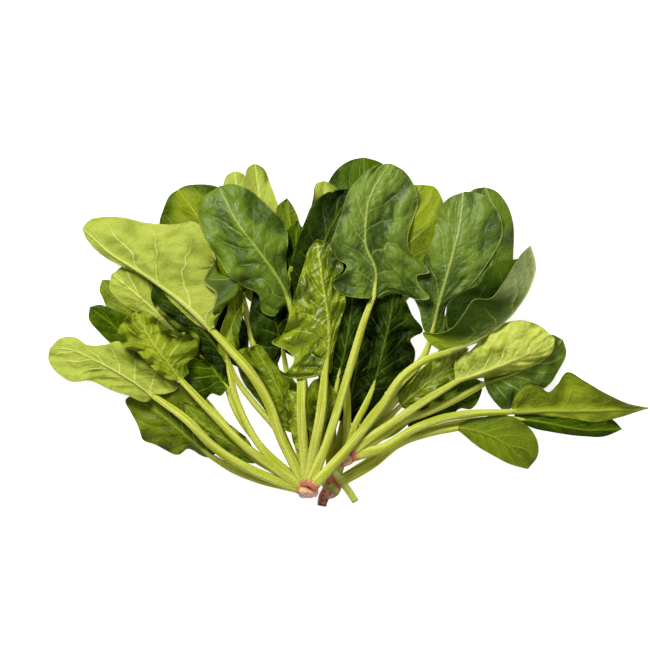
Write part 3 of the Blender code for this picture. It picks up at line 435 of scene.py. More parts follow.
# ---- The form of one leaf -----------------------------------------------------------------------
# A stem is solid and fleshy, hollowed a little along its upper side. It runs on as the midrib under
# a thin blade, which bulges between its veins and frills towards its margin.
ROW_STEP = 1.3          # a blade's rows and columns and a stem's sections lie this far apart
COLUMN_STEP = 1.15
STEM_STEP = 3.0
STEM_SIDES = 18
BLADE_HALF = 0.35       # half the thickness of a blade
COLLAR_HEIGHT = 5.0     # height of the midrib where its blade starts, and at its tip
TIP_HEIGHT = 1.2
ARCH = 0.07             # rise of the midrib between them, as a share of its length
SHEATH = (4.6, 2.3)     # half width and half height of a stem where it leaves its crown
RUN_ON = 0.16           # share of the blade over which the stem sinks into the midrib

# pucker height, size of a pucker, frill height, number of side veins
SKINS = {"plain": (0.5, 19.0, 0.5, 5), "smooth": (0.8, 18.0, 0.6, 4), "soft": (1.2, 15.0, 0.9, 5),
         "quilted": (1.5, 10.0, 1.1, 6), "crumpled": (2.5, 9.0, 2.1, 7),
         "gathered": (3.2, 7.5, 2.4, 8)}
TURNS = 2 * math.pi * np.arange(STEM_SIDES) / STEM_SIDES
HEM_ROUND = 2.2         # radius of the bend where a hem turns over
SCATTERED = 64          # cells of puckers before their points repeat
FLANK = 0.34            # width of a pucker's flank, as a share of its size
VEIN_LEAN = 0.34        # how far side veins lean towards the tip, as a share of the length
VEIN_VALLEY = 2.6       # half widths of the valley along a side vein and of the vein itself
VEIN_HALF = 0.9
RIB_VALLEY = 5.0        # relief grows over this distance from the midrib
# Folds of a whole blade: share of the pucker height, where it grows, seed, stretch, wavelength.
FOLDS = ((1.1, "rib", 6, 0.45, 26.0), (0.9, "margin", 1, 1.0, 34.0), (0.35, "rib", 4, 1.0, 11.0))
SWELL_OVER = 0.22       # share of a stem over which its sheathing base narrows
NECK_FROM = 0.7         # share of a stem from which it narrows to its blade
FURROW = (0.2, 0.38)    # depth and width of a stem's furrow, as shares of its size
PINK_OVER = 6.0         # length of the pink at a stem's base


def unit(v):
    """The vectors v, each divided by its length."""
    return v / np.maximum(np.linalg.norm(v, axis=-1, keepdims=True), 1e-9)


def curve(points, at):
    """Smooth curve through the points, read at shares of its length: cubic pieces between the
    points, whose slope at a point is that of the line through its neighbours."""
    points = np.asarray(points, float)
    knots = np.concatenate([[0.0], np.cumsum(np.linalg.norm(np.diff(points[:, :2], axis=0), axis=1))])
    knots /= knots[-1]
    slopes = np.gradient(points, knots, axis=0)
    k = np.clip(np.searchsorted(knots, at, side="right") - 1, 0, len(knots) - 2)
    width = (knots[k + 1] - knots[k])[:, None]
    s = (at[:, None] - knots[k][:, None]) / width
    return ((2 * s**3 - 3 * s**2 + 1) * points[k] + (s**3 - 2 * s**2 + s) * width * slopes[k]
            + (3 * s**2 - 2 * s**3) * points[k + 1] + (s**3 - s**2) * width * slopes[k + 1])


def length_of(points):
    """Length of the broken line through the points, seen from above."""
    return np.linalg.norm(np.diff(np.array([p[:2] for p in points], float), axis=0), axis=1).sum()


def unevenness(seed, x, y, wavelength, waves=9):
    """Smooth seeded unevenness from about -1 to 1: the sum of sine waves of about this length, each
    with its own direction and shift."""
    draw = np.random.default_rng(seed)
    total = 0.0
    for _ in range(waves):
        angle, shift = draw.uniform(0, 2 * math.pi, 2)
        size = wavelength * draw.uniform(0.7, 1.5)
        total = total + np.sin(2 * math.pi * (x * math.cos(angle) + y * math.sin(angle)) / size + shift)
    return total / waves**0.5


def puckers(seed, x, y, size):
    """Domes with creases between them, 0 in a crease and 1 on a dome. Every square cell holds one
    scattered point. The value grows with how much farther the second nearest point is than the
    nearest one."""
    scatter = np.random.default_rng(seed).uniform(0.1, 0.9, (SCATTERED, SCATTERED, 2))
    gx, gy = x / size, y / size
    ix, iy = np.floor(gx).astype(int), np.floor(gy).astype(int)
    first = np.full(gx.shape, 9.0)
    second = first.copy()
    for dx in (-1, 0, 1):
        for dy in (-1, 0, 1):
            cell = scatter[(ix + dx) % SCATTERED, (iy + dy) % SCATTERED]
            far = np.hypot(ix + dx + cell[..., 0] - gx, iy + dy + cell[..., 1] - gy)
            second = np.minimum(second, np.maximum(first, far))
            first = np.minimum(first, far)
    return 1 - np.exp(-((second - first) / FLANK) ** 1.15)


def turned_over(one, side, at, span, share):
    """Where a blade's half lies, for shares of its surface from rib to margin: how far out, how far
    raised and on which side it looks up. A hem runs out to the outline, bends over by half a turn
    and comes back above or beneath the blade."""
    out = share * span
    lifted = np.zeros_like(out)
    looks = np.ones_like(out)
    for where, start, end, width, above in one["hems"]:
        inside = np.clip((at - start) / (end - start), 0, 1)
        hem = width * np.sin(np.pi * inside) ** 0.8
        bend = np.minimum(HEM_ROUND, 0.4 * hem)
        if where != side or hem.max() <= 0:
            continue
        straight = span - bend
        run = share * (straight + math.pi * bend + hem) - straight
        turn = np.clip(run / np.maximum(bend, 1e-6), 0, math.pi)
        back = np.maximum(run - math.pi * bend, 0)
        bent = (run > 0) & (bend > 0.05)
        out = np.where(bent, straight + bend * np.sin(turn) - back, run + straight)
        lifted = np.where(bent, above * (bend * (1 - np.cos(turn)) + 0.1 * back), 0.0)
        looks = np.where(bent & (turn > math.pi / 2), -1.0, 1.0)
    return out, lifted, looks


def blade(one):
    """The middle sheet of a blade on a grid of rows along the rib and columns from the left margin
    (-1) over the rib (0) to the right margin (1), with what its finish follows.

    A point lies on the line from the rib to the margin at the same share of their lengths. Its
    height over the rib is cup * f^1.4 + wave * f^2 for f from rib to margin, and the veins sink and
    the fields between them bulge by the pucker height of its skin."""
    pucker, size, frill, veins = SKINS[one["skin"]]
    length = length_of(one["rib"])
    start = np.asarray(one["rib"][0], float)
    tip = tuple(one["rib"][-1]) + (0.0,)
    heading = unit(np.asarray(one["rib"][1], float) - start)
    to_right = np.array([heading[1], -heading[0]])
    along = np.linspace(0, 1, max(24, int(length / ROW_STEP)))
    at = 0.015 + 0.982 * (1 - (1 - along) ** 1.3)
    rib = curve(one["rib"], at)
    half = one["half_width"] * (0.95 - 0.75 * at**0.7)
    margins = []
    for sign, key in ((-1, "left"), (1, "right")):
        edge = tuple(start + sign * to_right * 0.45 * one["half_width"]) + (0.0,)
        points = np.array([edge] + [tuple(p) + (0.0,) * (3 - len(p)) for p in one[key]] + [tip])
        margins.append(curve(points, at))
    spans = [np.linalg.norm(m[:, :2] - rib, axis=1) for m in margins]
    columns = max(7, int(max(s.max() for s in spans) / COLUMN_STEP))
    across = np.linspace(-1, 1, 2 * columns + 1)
    across = np.sign(across) * np.abs(across) ** 1.35
    along_half = np.abs(across)[None, :]
    left = (across < 0)[None, :]
    margin = np.where(left[..., None], margins[0][:, None], margins[1][:, None])
    span = np.where(left, spans[0][:, None], spans[1][:, None])
    row = at[:, None]
    laid = [turned_over(one, side, row, spans[k][:, None], along_half)
            for k, side in enumerate(("left", "right"))]
    out, lifted, looks = (np.where(left, a, b) for a, b in zip(*laid))
    share = np.clip(out / np.maximum(span, 1e-6), 0, 1)
    plan = rib[:, None] + (margin[..., :2] - rib[:, None]) * share[..., None]
    bulge = np.sqrt(np.sin(np.pi * row))
    high, waves = one["ruffle"]
    wave = high * bulge * np.sin(2 * np.pi * waves * row + np.where(left, -0.9, 0.9))
    cup = np.where(left, one["cup"][0], one["cup"][1]) * bulge
    rib_height = (COLLAR_HEIGHT + (TIP_HEIGHT - COLLAR_HEIGHT) * row**1.2
                  + ARCH * length * np.sin(np.pi * row))
    height = rib_height + (margin[..., 2] + cup) * share**1.4 + wave * share**2 + lifted

    seed = sum(map(ord, one["name"]))
    x = row * length + 0 * share
    y = np.sign(across)[None, :] * along_half * span
    side = np.where(left, 0.5, 0.0)
    vein = ((veins + 1) * (row - VEIN_LEAN * along_half**0.75) + side
            + 0.17 * unevenness(seed, x, y, 45) + 0.04 * unevenness(seed + 3, x, y, 14))
    spacing = 0.8 * length / (veins + 1)
    gap = np.abs(vein - np.round(vein)) * spacing
    inner = 1 - np.exp(-((along_half * span) / RIB_VALLEY) ** 2)
    valley = 1 - np.exp(-(gap / VEIN_VALLEY) ** 1.2)
    domes = puckers(seed, vein * spacing, y * 0.8, size)
    patchy = 0.75 + 0.45 * np.clip(unevenness(seed + 5, x, y, 55), -1, 1)
    relief = 1.25 * patchy * pucker * inner * (0.6 * valley + 0.8 * domes * (0.3 + 0.7 * valley) - 0.6)
    for high_share, grows, step, stretch, wavelength in FOLDS:
        where = inner if grows == "rib" else along_half
        relief += high_share * pucker * where * unevenness(seed + step, stretch * x, y, wavelength)
    relief += frill * bulge * along_half**5 * unevenness(seed + 2, x, 0.15 * y, 19)
    height = height + (relief if one["face"] == "top" else -relief) * looks

    rib_bump = np.exp(-(along_half * span / (0.55 * half[:, None] + 0.3)) ** 2)
    vein_bump = np.exp(-(gap / VEIN_HALF) ** 2) * (1 - along_half) * inner
    thin = 1 - 0.35 * along_half**6
    proud = 0.7 * half[:, None] * rib_bump + 0.3 * vein_bump
    flush = 0.12 * half[:, None] * rib_bump * (1 - row) ** 0.5
    facts = dict(vein=vein, spacing=np.full_like(x, spacing), edge=along_half + 0 * x,
                 rib=np.exp(-(along_half * span / (0.36 * half[:, None] + 0.28)) ** 2),
                 near_rib=np.exp(-along_half * span / 9.0), reach=row + 0 * x,
                 dome=np.clip(0.5 + relief / (2.4 * pucker), 0, 1),
                 quilt=np.clip(pucker / 2.5, 0.15, 1) + 0 * x,
                 stem=np.zeros_like(x), base=np.zeros_like(x), along=x, round=y)
    upper = BLADE_HALF * thin + (flush if one["face"] == "top" else proud)
    lower = BLADE_HALF * thin + (proud if one["face"] == "top" else flush)
    sheet = np.dstack([plan, height])
    return at, across, sheet, upper, lower, facts


def stem_path(one, at_blade, sheet):
    """Middle line of a stem from inside its crown to where it has sunk into the midrib."""
    rib = sheet[:, sheet.shape[1] // 2]
    inner = [tuple(p) for p in one["stem"]]
    base = one["base"]
    collar = rib[0]
    run = np.cumsum([math.dist(a, b) for a, b in
                     zip([base[:2]] + inner, inner + [tuple(collar[:2])])])
    heights = base[2] + (collar[2] - base[2]) * run / run[-1]
    into = [rib[np.searchsorted(at_blade, RUN_ON * f)] for f in (0.5, 1.0)]
    path = [base] + [p + (h,) for p, h in zip(inner, heights)] + [tuple(collar)]
    return np.array(path), np.array(into), run[-1]


def around(middle, wide, deep):
    """Ellipses round a middle line: middle + cos(turn) * wide to its right + sin(turn) * deep
    upwards, for one pair of half sizes a point or a grid of them by point and turn."""
    ahead = unit(np.gradient(middle, axis=0))
    right = unit(np.cross(ahead, (0.0, 0.0, 1.0)))
    up = np.cross(right, ahead)
    return (middle[:, None] + np.cos(TURNS)[None, :, None] * wide * right[:, None]
            + np.sin(TURNS)[None, :, None] * deep * up[:, None])


def stem(one, at_blade, sheet):
    """Sections round the stem, the slimmer core that lies on the pile, what its finish follows, and
    the shares of the whole leaf's length. A section is an ellipse with a furrow along the leaf's
    upper side: its half width falls from the sheath's to the stem's as e^(-share / SWELL_OVER)."""
    path, into, reach = stem_path(one, at_blade, sheet)
    rows = max(10, int(reach / STEM_STEP))
    at = np.linspace(0, 1, rows)
    first = curve(path, at)
    sunk = length_of(into) + math.dist(into[0][:2], path[-1][:2])
    steps = max(4, int(sunk / STEM_STEP))
    second = curve(np.vstack([path[-1:], into]), np.linspace(0, 1, steps + 1))[1:]
    middle = np.vstack([first, second])
    full = one["half_width"]
    swell = 1 - np.exp(-at / SWELL_OVER)
    neck = 1 - 0.3 * np.clip((at - NECK_FROM) / (1 - NECK_FROM), 0, 1) ** 1.5
    wide = np.concatenate([(SHEATH[0] * (1 - swell) + full * swell) * neck,
                           full * np.linspace(0.7, 0.22, steps + 1)[1:]])
    deep = np.concatenate([(SHEATH[1] + (full * 0.8 - SHEATH[1]) * swell) * neck,
                           full * np.linspace(0.56, 0.06, steps + 1)[1:]])
    hollow_side = 1.0 if one["face"] == "top" else -1.0
    hollow = FURROW[0] * np.exp(-((np.cos(TURNS) / FURROW[1]) ** 2))
    furrow = 1 - hollow * (np.sin(TURNS) * hollow_side > 0)
    rings = around(middle, wide[:, None, None], furrow[None, :, None] * deep[:, None, None])
    distance = np.concatenate([[0], np.cumsum(np.linalg.norm(np.diff(middle, axis=0), axis=1))])
    into_blade = np.concatenate([np.zeros(rows), np.linspace(0, 1, steps + 1)[1:]])
    flat = np.ones((len(middle), STEM_SIDES))
    slim = 1 - 0.92 * np.exp(-((distance / 27.0) ** 2))
    core = middle[:, None] + (rings - middle[:, None]) * np.stack(
        [0.8 + 0 * slim, 0.8 + 0 * slim, slim], axis=1)[:, None]
    facts = dict(vein=0.5 * flat, spacing=20 * flat, edge=0 * flat, rib=flat,
                 near_rib=flat, reach=0 * flat, dome=0.5 * flat, quilt=0 * flat,
                 stem=flat * (1 - into_blade[:, None] ** 2),
                 base=flat * np.exp(-(distance / PINK_OVER) ** 2)[:, None],
                 along=flat * distance[:, None], round=flat * (TURNS * full)[None, :])
    share = distance / (distance[rows - 1] + length_of(one["rib"]))
    return rings, core, facts, share


# ---- Laying the leaves --------------------------------------------------------------------------
# The leaves lie loosely on each other. Each keeps its own form, and is lifted and bent just enough
# to clear what already lies below it: control heights are spread over it as a smooth surface.
CELL = 0.5              # the pile's heights are kept in square cells of this size
REACH = (260.0, 160.0)  # half the room they cover
CONTROL_STEP = 13.0     # control heights lie this far apart along a leaf
CONTROL_COLUMNS = 8     # and are this many across it
FADE_PASSES = 6
ROUNDS = 14
ENOUGH = 0.05           # a leaf lies well once it is short by no more than this
GIVE = 1.8              # a blade gives way by this much where it lies on a bump or an edge
pile = np.full((round(2 * REACH[0] / CELL), round(2 * REACH[1] / CELL)), -CLEARANCE)


def weights(count, at):
    """How much each of `count` even control values counts at shares `at`: cubic B-splines."""
    t = np.clip(at, 0, 1) * (count - 3)
    k = np.minimum(t.astype(int), count - 4)
    s = t - k
    made = np.zeros((len(at), count))
    parts = ((1 - s) ** 3, 3 * s**3 - 6 * s**2 + 4, -3 * s**3 + 3 * s**2 + 3 * s + 1, s**3)
    for j, part in enumerate(parts):
        made[np.arange(len(at)), k + j] = part / 6
    return made


def cells(points):
    """Numbers of the pile's cells that the points lie over."""
    i = np.clip(((points[..., 0] + REACH[0]) / CELL).astype(int), 0, pile.shape[0] - 1)
    j = np.clip(((points[..., 1] + REACH[1]) / CELL).astype(int), 0, pile.shape[1] - 1)
    return i, j


def finer(grid, times):
    """The grid with each of its steps divided into `times`, along both sides."""
    for axis in (0, 1):
        n = grid.shape[axis]
        at = np.linspace(0, n - 1, (n - 1) * times + 1)
        k = np.minimum(at.astype(int), n - 2)
        s = (at - k).reshape([-1 if a == axis else 1 for a in range(grid.ndim)])
        grid = np.take(grid, k, axis) * (1 - s) + np.take(grid, k + 1, axis) * s
    return grid


def closed_round(rings):
    """The rings with their first column repeated as the last."""
    return np.concatenate([rings, rings[:, :1]], axis=1)


def resampled(values, count):
    """The values read at this many even places."""
    return np.interp(np.linspace(0, len(values) - 1, count), np.arange(len(values)), values)


def highest_near(middle, radius):
    """Greatest height of the pile within this distance of the middle."""
    i, j = np.indices(pile.shape)
    x = (i + 0.5) * CELL - REACH[0] - middle[0]
    y = (j + 0.5) * CELL - REACH[1] - middle[1]
    return pile[x * x + y * y < radius * radius].max()


def rise(grid, give, by_row, by_column, need_all):
    """Adds to need_all what each control has to rise for the grid's points to clear the pile."""
    short = np.maximum(pile[cells(grid)] + CLEARANCE - give - grid[..., 2], 0.0)
    if short.max() <= 0:
        return 0.0
    for i in range(by_row.shape[1]):
        reach = by_row[:, i] > 0
        if reach.any():
            most = (short[reach] * by_row[reach, i][:, None]).max(axis=0)
            need_all[i] = np.maximum(need_all[i], (most[:, None] * by_column).max(axis=0))
    return short.max()


def faded(control, required, tied):
    """Control heights spread to their neighbours, as 0.4 of their own height, 0.2 of each one along
    the leaf and 0.1 of each one across it, but never below what is required. The first `tied` rows
    belong to the stem, which rises as a whole."""
    for _ in range(FADE_PASSES):
        padded = np.pad(control, 1, mode="edge")
        spread = (0.4 * control + 0.2 * (padded[:-2, 1:-1] + padded[2:, 1:-1])
                  + 0.1 * (padded[1:-1, :-2] + padded[1:-1, 2:]))
        spread[:tied] = spread[:tied].max(axis=1, keepdims=True)
        control = np.maximum(spread, required)
    return control


def settle(stem_rings, stem_share, sheet, at, across, stem_length, length):
    """Heights by which a leaf's stem and blade rise so that both clear the pile: round after round,
    each control rises by 1.6 times what the points that it carries are short by, and fades."""
    total = stem_length + length
    count = max(6, int(total / CONTROL_STEP)) + 3
    blade_rows = (stem_length + at * length) / total
    tied = int(stem_length / total * (count - 3)) + 1
    rows_s, rows_b = weights(count, stem_share), weights(count, blade_rows)
    cols = weights(CONTROL_COLUMNS, (across + 1) / 2)
    mid = weights(CONTROL_COLUMNS, np.array([0.5]))
    stem_fine = finer(closed_round(stem_rings), 3)
    blade_fine = finer(sheet, 3)
    s_rows = weights(count, resampled(stem_share, len(stem_fine)))
    b_rows = weights(count, resampled(blade_rows, len(blade_fine)))
    b_cols = weights(CONTROL_COLUMNS, (resampled(across, blade_fine.shape[1]) + 1) / 2)
    s_cols = np.repeat(mid, stem_fine.shape[1], axis=0)
    required = np.zeros((count, CONTROL_COLUMNS))
    control = required.copy()
    for _ in range(ROUNDS):
        need = np.zeros_like(required)
        stem_now = stem_fine.copy()
        stem_now[..., 2] += s_rows @ control @ s_cols.T
        blade_now = blade_fine.copy()
        blade_now[..., 2] += b_rows @ control @ b_cols.T
        worst = max(rise(stem_now, 0.0, s_rows, s_cols, need),
                    rise(blade_now, GIVE, b_rows, b_cols, need))
        if worst < ENOUGH:
            break
        required = np.maximum(required, np.where(need > 0, control + 1.6 * need, 0))
        control = faded(required, required, tied)
    return (rows_s @ control @ mid.T)[:, 0], rows_b @ control @ cols.T


def pressed(under):
    """How far each point of a blade gives way to what it still touches, faded round it."""
    give = np.maximum(pile[cells(under)] + CLEARANCE - under[..., 2], 0.0)
    for _ in range(3):
        padded = np.pad(give, 1, mode="edge")
        around = (padded[:-2, 1:-1] + padded[2:, 1:-1] + padded[1:-1, :-2] + padded[1:-1, 2:]) / 4
        give = np.maximum(give, around)
    return give


def add_to_pile(grid):
    """Raises the pile to the grid's points, and to points between them."""
    points = finer(grid, 3)
    np.maximum.at(pile, cells(points), points[..., 2])


# ---- The leaves' finish -------------------------------------------------------------------------
# A stem is pale yellow-green with fine lengthwise fibres, pink where it joins the crown. A blade is
# darker and glossier on its upper side and paler and duller underneath, with pale veins.
BLADES = {  # darker colour, lighter colour, vein colour, specular level
    "pale": ((112, 128, 20), (156, 168, 60), (194, 200, 102), 0.12),
    "lime": ((84, 104, 2), (132, 146, 22), (160, 170, 56), 0.12),
    "gold": ((46, 68, 0), (112, 128, 2), (146, 156, 30), 0.06),
    "bright": ((130, 144, 8), (184, 194, 74), (194, 202, 96), 0.25),
    "mid": ((72, 92, 1), (104, 122, 8), (138, 150, 40), 0.12),
    "olive": ((70, 88, 3), (102, 118, 12), (132, 144, 40), 0.12),
    "dark": ((38, 60, 0), (64, 88, 1), (110, 128, 20), 0.04),
    # Near black: partly their own dark green, partly painted shade of leaves deep in the pile.
    "deep": ((16, 30, 0), (36, 56, 1), (80, 98, 12), 0.06),
    "sheen": ((58, 84, 4), (90, 114, 20), (140, 154, 52), 0.22),
    "grey": ((86, 102, 22), (116, 130, 50), (142, 154, 70), 0.2),
    "grey_top": ((56, 82, 6), (99, 122, 32), (156, 168, 76), 0.24),
    # Its darker colour is partly painted shade of the fold.
    "folded": ((60, 82, 0), (146, 158, 96), (160, 168, 90), 0.1),
    "wet": ((66, 90, 0), (124, 140, 6), (168, 178, 54), 0.32),
}
OTHER_SIDE = {"top": ((112, 126, 22), (140, 152, 48)), "under": ((36, 58, 0), (76, 98, 2))}
# How much the fine net and the side veins show, where that isn't as on most leaves.
NET_SHARE = {"folded": 0.04, "pale": 0.09, "sheen": 0.1, "grey_top": 0.1, "wet": 0.12}
VEIN_SHARE = {"sheen": 0.8, "grey_top": 0.55, "folded": 0.5, "gold": 0.8}
STEM_PALE = (204, 208, 100)
STEM_GREEN = (158, 168, 14)
CROWN_PINK = (196, 112, 92)


class Tree:
    """Short calls that add nodes to a material and link them."""

    def __init__(self, name):
        self.material, self.shader = new_material(name)
        self.nodes = self.material.node_tree.nodes
        self.links = self.material.node_tree.links

    def put(self, socket, value):
        if isinstance(value, bpy.types.NodeSocket):
            self.links.new(value, socket)
        elif value is not None:
            socket.default_value = value

    def times(self, a, b):
        return self.math("MULTIPLY", a, b)

    def fact(self, name):
        made = self.nodes.new("ShaderNodeAttribute")
        made.attribute_name = name
        return made.outputs["Fac"]

    def math(self, operation, *values):
        made = self.nodes.new("ShaderNodeMath")
        made.operation = operation
        for socket, value in zip(made.inputs, values):
            self.put(socket, value)
        return made.outputs[0]

    def ramp(self, value, low, high, out_low=0.0, out_high=1.0):
        made = self.nodes.new("ShaderNodeMapRange")
        made.interpolation_type = "SMOOTHSTEP"
        for key, given in zip(("Value", "From Min", "From Max", "To Min", "To Max"),
                              (value, low, high, out_low, out_high)):
            self.put(made.inputs[key], given)
        return made.outputs[0]

    def mix(self, factor, a, b, blend="MIX"):
        made = self.nodes.new("ShaderNodeMix")
        made.data_type = "RGBA"
        made.blend_type = blend
        self.put(made.inputs[0], factor)
        self.put(made.inputs[6], a)
        self.put(made.inputs[7], b)
        return made.outputs[2]

    def texture(self, kind, scale, vector, output, **settings):
        made = self.nodes.new("ShaderNodeTex" + kind)
        for key, value in settings.items():
            if key in made.inputs:
                made.inputs[key].default_value = value
            else:
                setattr(made, key, value)
        made.inputs["Scale"].default_value = scale
        self.put(made.inputs["Vector"], vector)
        return made.outputs[output]

    def net(self, scale, vector):
        """Distance from the edges of scattered cells."""
        return self.texture("Voronoi", scale, vector, "Distance", feature="DISTANCE_TO_EDGE",
                            Randomness=1.0)

    def vector(self, x, y):
        made = self.nodes.new("ShaderNodeCombineXYZ")
        for socket, value in zip(made.inputs, (x, y, 0.0)):
            self.put(socket, value)
        return made.outputs[0]

    def bump(self, height, strength, distance, normal=None):
        made = self.nodes.new("ShaderNodeBump")
        made.inputs["Strength"].default_value = strength
        made.inputs["Distance"].default_value = distance
        self.put(made.inputs["Height"], height)
        self.put(made.inputs["Normal"], normal)
        return made.outputs[0]


def leaf_material(tint, face):
    """Blade, veins, stem and pink base in one material: each mask is a smooth step of a fact that
    the mesh carries."""
    tree = Tree(f"{tint}_{face}")
    along, girth, dome, reach, edge, seen, vein = (
        tree.fact(key) for key in ("along", "round", "dome", "reach", "edge", "seen", "vein"))

    # Darker and lighter fields of the blade, its other side, and painted shade in its creases.
    dark, light, pale = (linear(c) for c in BLADES[tint][:3])
    flat = tree.vector(along, girth)
    broad = tree.texture("Noise", 0.045, flat, "Fac", Detail=3.0)
    # Painted light and shade: the fields are lighter on the domes of the relief, darker off them.
    fields = tree.math("ADD", broad, tree.times(dome, 0.5))
    # An upper side is also darker towards its base.
    if face == "top" and tint != "wet":
        fields = tree.math("ADD", fields, tree.ramp(reach, 0.0, 1.0, -0.18, 0.16))
    patch = tree.ramp(fields, 0.5, 1.0) if face == "top" else tree.ramp(fields, 0.3, 0.95)
    # Folded leaf: paler towards its tip, and darker over its near half as painted shade of the fold.
    if tint == "folded":
        patch = tree.ramp(reach, 0.58, 0.78)
    elif tint == "gold":
        patch = tree.ramp(edge, 0.3, 0.9, 1.0, 0.0)
    back = tree.mix(patch, *(linear(c) for c in OTHER_SIDE[face]))
    colour = tree.mix(patch, dark, light)
    # Painted light: a lighter olive lobe at the base of the folded leaf.
    if tint == "folded":
        colour = tree.mix(tree.ramp(reach, 0.14, 0.3), linear((124, 144, 6)), colour)
    colour = tree.mix(tree.times(tree.fact("near_rib"), 0.35), colour, light)
    colour = tree.mix(seen, back, colour)
    # Painted shade: the creases of the relief are darkened towards half the darker colour.
    crease = tree.ramp(dome, 0.1, 0.5, 0.5 if face == "top" else 0.2, 0.0)
    colour = tree.mix(crease, colour, tuple(0.5 * c for c in dark[:3]) + (1.0,))

    # The fine net, the side veins and the pale rim.
    net = tree.net(0.24, flat)
    fine = tree.net(0.62, flat)
    net_shows = tree.ramp(seen, 0.0, 1.0, 0.03, NET_SHARE.get(tint, 0.16))
    net_mask = tree.times(tree.ramp(net, 0.01, 0.1, 1.0, 0.0), net_shows)
    colour = tree.mix(net_mask, colour, pale)
    away = tree.times(tree.math("PINGPONG", vein, 0.5), tree.fact("spacing"))
    vein_wide = tree.ramp(edge, 0.0, 1.0, 0.62, 0.2)
    vein_mask = tree.ramp(tree.math("DIVIDE", away, vein_wide), 0.4, 1.5, 1.0, 0.0)
    faint = tree.texture("Noise", 0.05, tree.vector(girth, along), "Fac")
    vein_mask = tree.times(vein_mask, tree.ramp(edge, 0.3, 1.0, 0.9, 0.1))
    vein_mask = tree.times(vein_mask, tree.ramp(faint, 0.3, 0.55, 0.45, 1.0))
    vein_mask = tree.times(vein_mask, VEIN_SHARE.get(tint, 1.0))
    colour = tree.mix(vein_mask, colour, pale)
    rim = tree.ramp(edge, 0.96, 1.0)
    colour = tree.mix(tree.times(rim, 0.55), colour, pale)

    # The stem with its fibres, and the pink at its base.
    lengthwise = tree.vector(tree.times(along, 0.02), tree.times(girth, 0.9))
    fibres = tree.texture("Noise", 1.0, lengthwise, "Fac", Detail=2.0)
    stem_colour = tree.mix(tree.ramp(fibres, 0.35, 0.65), linear(STEM_GREEN), linear(STEM_PALE))
    colour = tree.mix(tree.ramp(tree.fact("rib"), 0.15, 0.8, 0.0, 0.9), colour, pale)
    colour = tree.mix(tree.fact("stem"), colour, stem_colour)
    speckle = tree.texture("Noise", 0.55, flat, "Fac", Detail=4.0)
    pink = tree.times(tree.fact("base"), tree.ramp(speckle, 0.3, 0.6, 0.5, 1.25))
    colour = tree.mix(tree.ramp(pink, 0.25, 0.75), colour, linear(CROWN_PINK))
    tree.put(tree.shader.inputs["Base Color"], colour)

    # Gloss, and relief that is finer than the mesh: domes, both nets and a grain.
    gloss = (0.4, 0.54) if face == "top" else (0.5, 0.62)
    if tint == "wet":
        gloss = (0.26, 0.42)
    tree.put(tree.shader.inputs["Roughness"], tree.ramp(broad, 0.3, 0.7, *gloss))
    tree.shader.inputs["Specular IOR Level"].default_value = BLADES[tint][3]
    grain = tree.texture("Noise", 1.4, flat, "Fac", Detail=3.0)
    domes = tree.math("POWER", tree.ramp(tree.net(0.14, flat), 0.0, 0.42), 0.7)
    domes = tree.times(domes, tree.ramp(broad, 0.35, 0.65, 0.4, 1.0))
    relief = tree.bump(tree.times(domes, tree.fact("quilt")), 0.7, 0.0014)
    relief = tree.bump(tree.ramp(net, 0.0, 0.3), 0.4, 0.0004, relief)
    relief = tree.bump(tree.ramp(fine, 0.0, 0.3), 0.2, 0.0002, relief)
    relief = tree.bump(grain, 0.15, 0.0002, relief)
    tree.put(tree.shader.inputs["Normal"], relief)
    return tree.material


finishes = {}


def carry(made, key, values):
    """Gives the mesh a fact as an attribute of its points."""
    layer = made.data.attributes.new(key, "FLOAT", "POINT")
    layer.data.foreach_set("value", np.asarray(values, np.float32))


def band(rows, columns, first, flip, wrap=False):
    """Quads of a grid whose points are numbered row by row from `first`."""
    i, j = np.meshgrid(np.arange(rows - 1), np.arange(columns if wrap else columns - 1), indexing="ij")
    a = first + i * columns + j
    b = first + i * columns + (j + 1) % columns
    quads = np.stack([a, b, b + columns, a + columns], axis=-1).reshape(-1, 4)
    return quads[:, ::-1] if flip else quads


def tube_faces(turns, sides, first):
    """Faces of a closed tube whose rings of points are numbered one after another from `first`."""
    faces = [tuple(q) for q in band(turns, sides, first, False, wrap=True).tolist()]
    last = first + (turns - 1) * sides
    faces.append(tuple(range(first + sides - 1, first - 1, -1)))
    faces.append(tuple(range(last, last + sides)))
    return faces


def dress(made, finish, node):
    """Gives a finished piece its material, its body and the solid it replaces."""
    made.data.materials.append(finishes[finish])
    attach(made, "root")
    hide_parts(node)


def closed_leaf(one, rings, stem_facts, sheet, upper, lower, facts):
    """One mesh of two closed bodies, the stem and the blade it carries, and the blade's upper side.
    A blade's sides lie off its middle sheet by upper and lower, along the sheet's normal."""
    normal = unit(np.cross(np.gradient(sheet, axis=1), np.gradient(sheet, axis=0)))
    top = sheet + normal * upper[..., None]
    under = sheet - normal * lower[..., None]
    rows, columns = sheet.shape[:2]
    size = rows * columns
    border = np.concatenate([np.arange(columns), np.arange(1, rows) * columns + columns - 1,
                             (rows - 1) * columns + np.arange(columns - 2, -1, -1),
                             np.arange(rows - 2, 0, -1) * columns])
    after = np.roll(border, -1)
    rim = np.stack([border, border + size, after + size, after], axis=-1)
    quads = [band(rows, columns, 0, True), band(rows, columns, size, False), rim]
    faces = [tuple(q) for q in np.concatenate(quads).tolist()]
    faces += tube_faces(len(rings), STEM_SIDES, 2 * size)
    points = np.concatenate([top.reshape(-1, 3), under.reshape(-1, 3), rings.reshape(-1, 3)])
    made = mesh_object(one["name"] + "_leaf", points + SHIFT, faces)
    for key in facts:
        blade_facts = facts[key].ravel()
        carry(made, key, np.concatenate([blade_facts, blade_facts, stem_facts[key].ravel()]))
    carry(made, "seen", np.concatenate([np.ones(size), np.zeros(size), np.ones(len(rings) * STEM_SIDES)]))
    return made, top


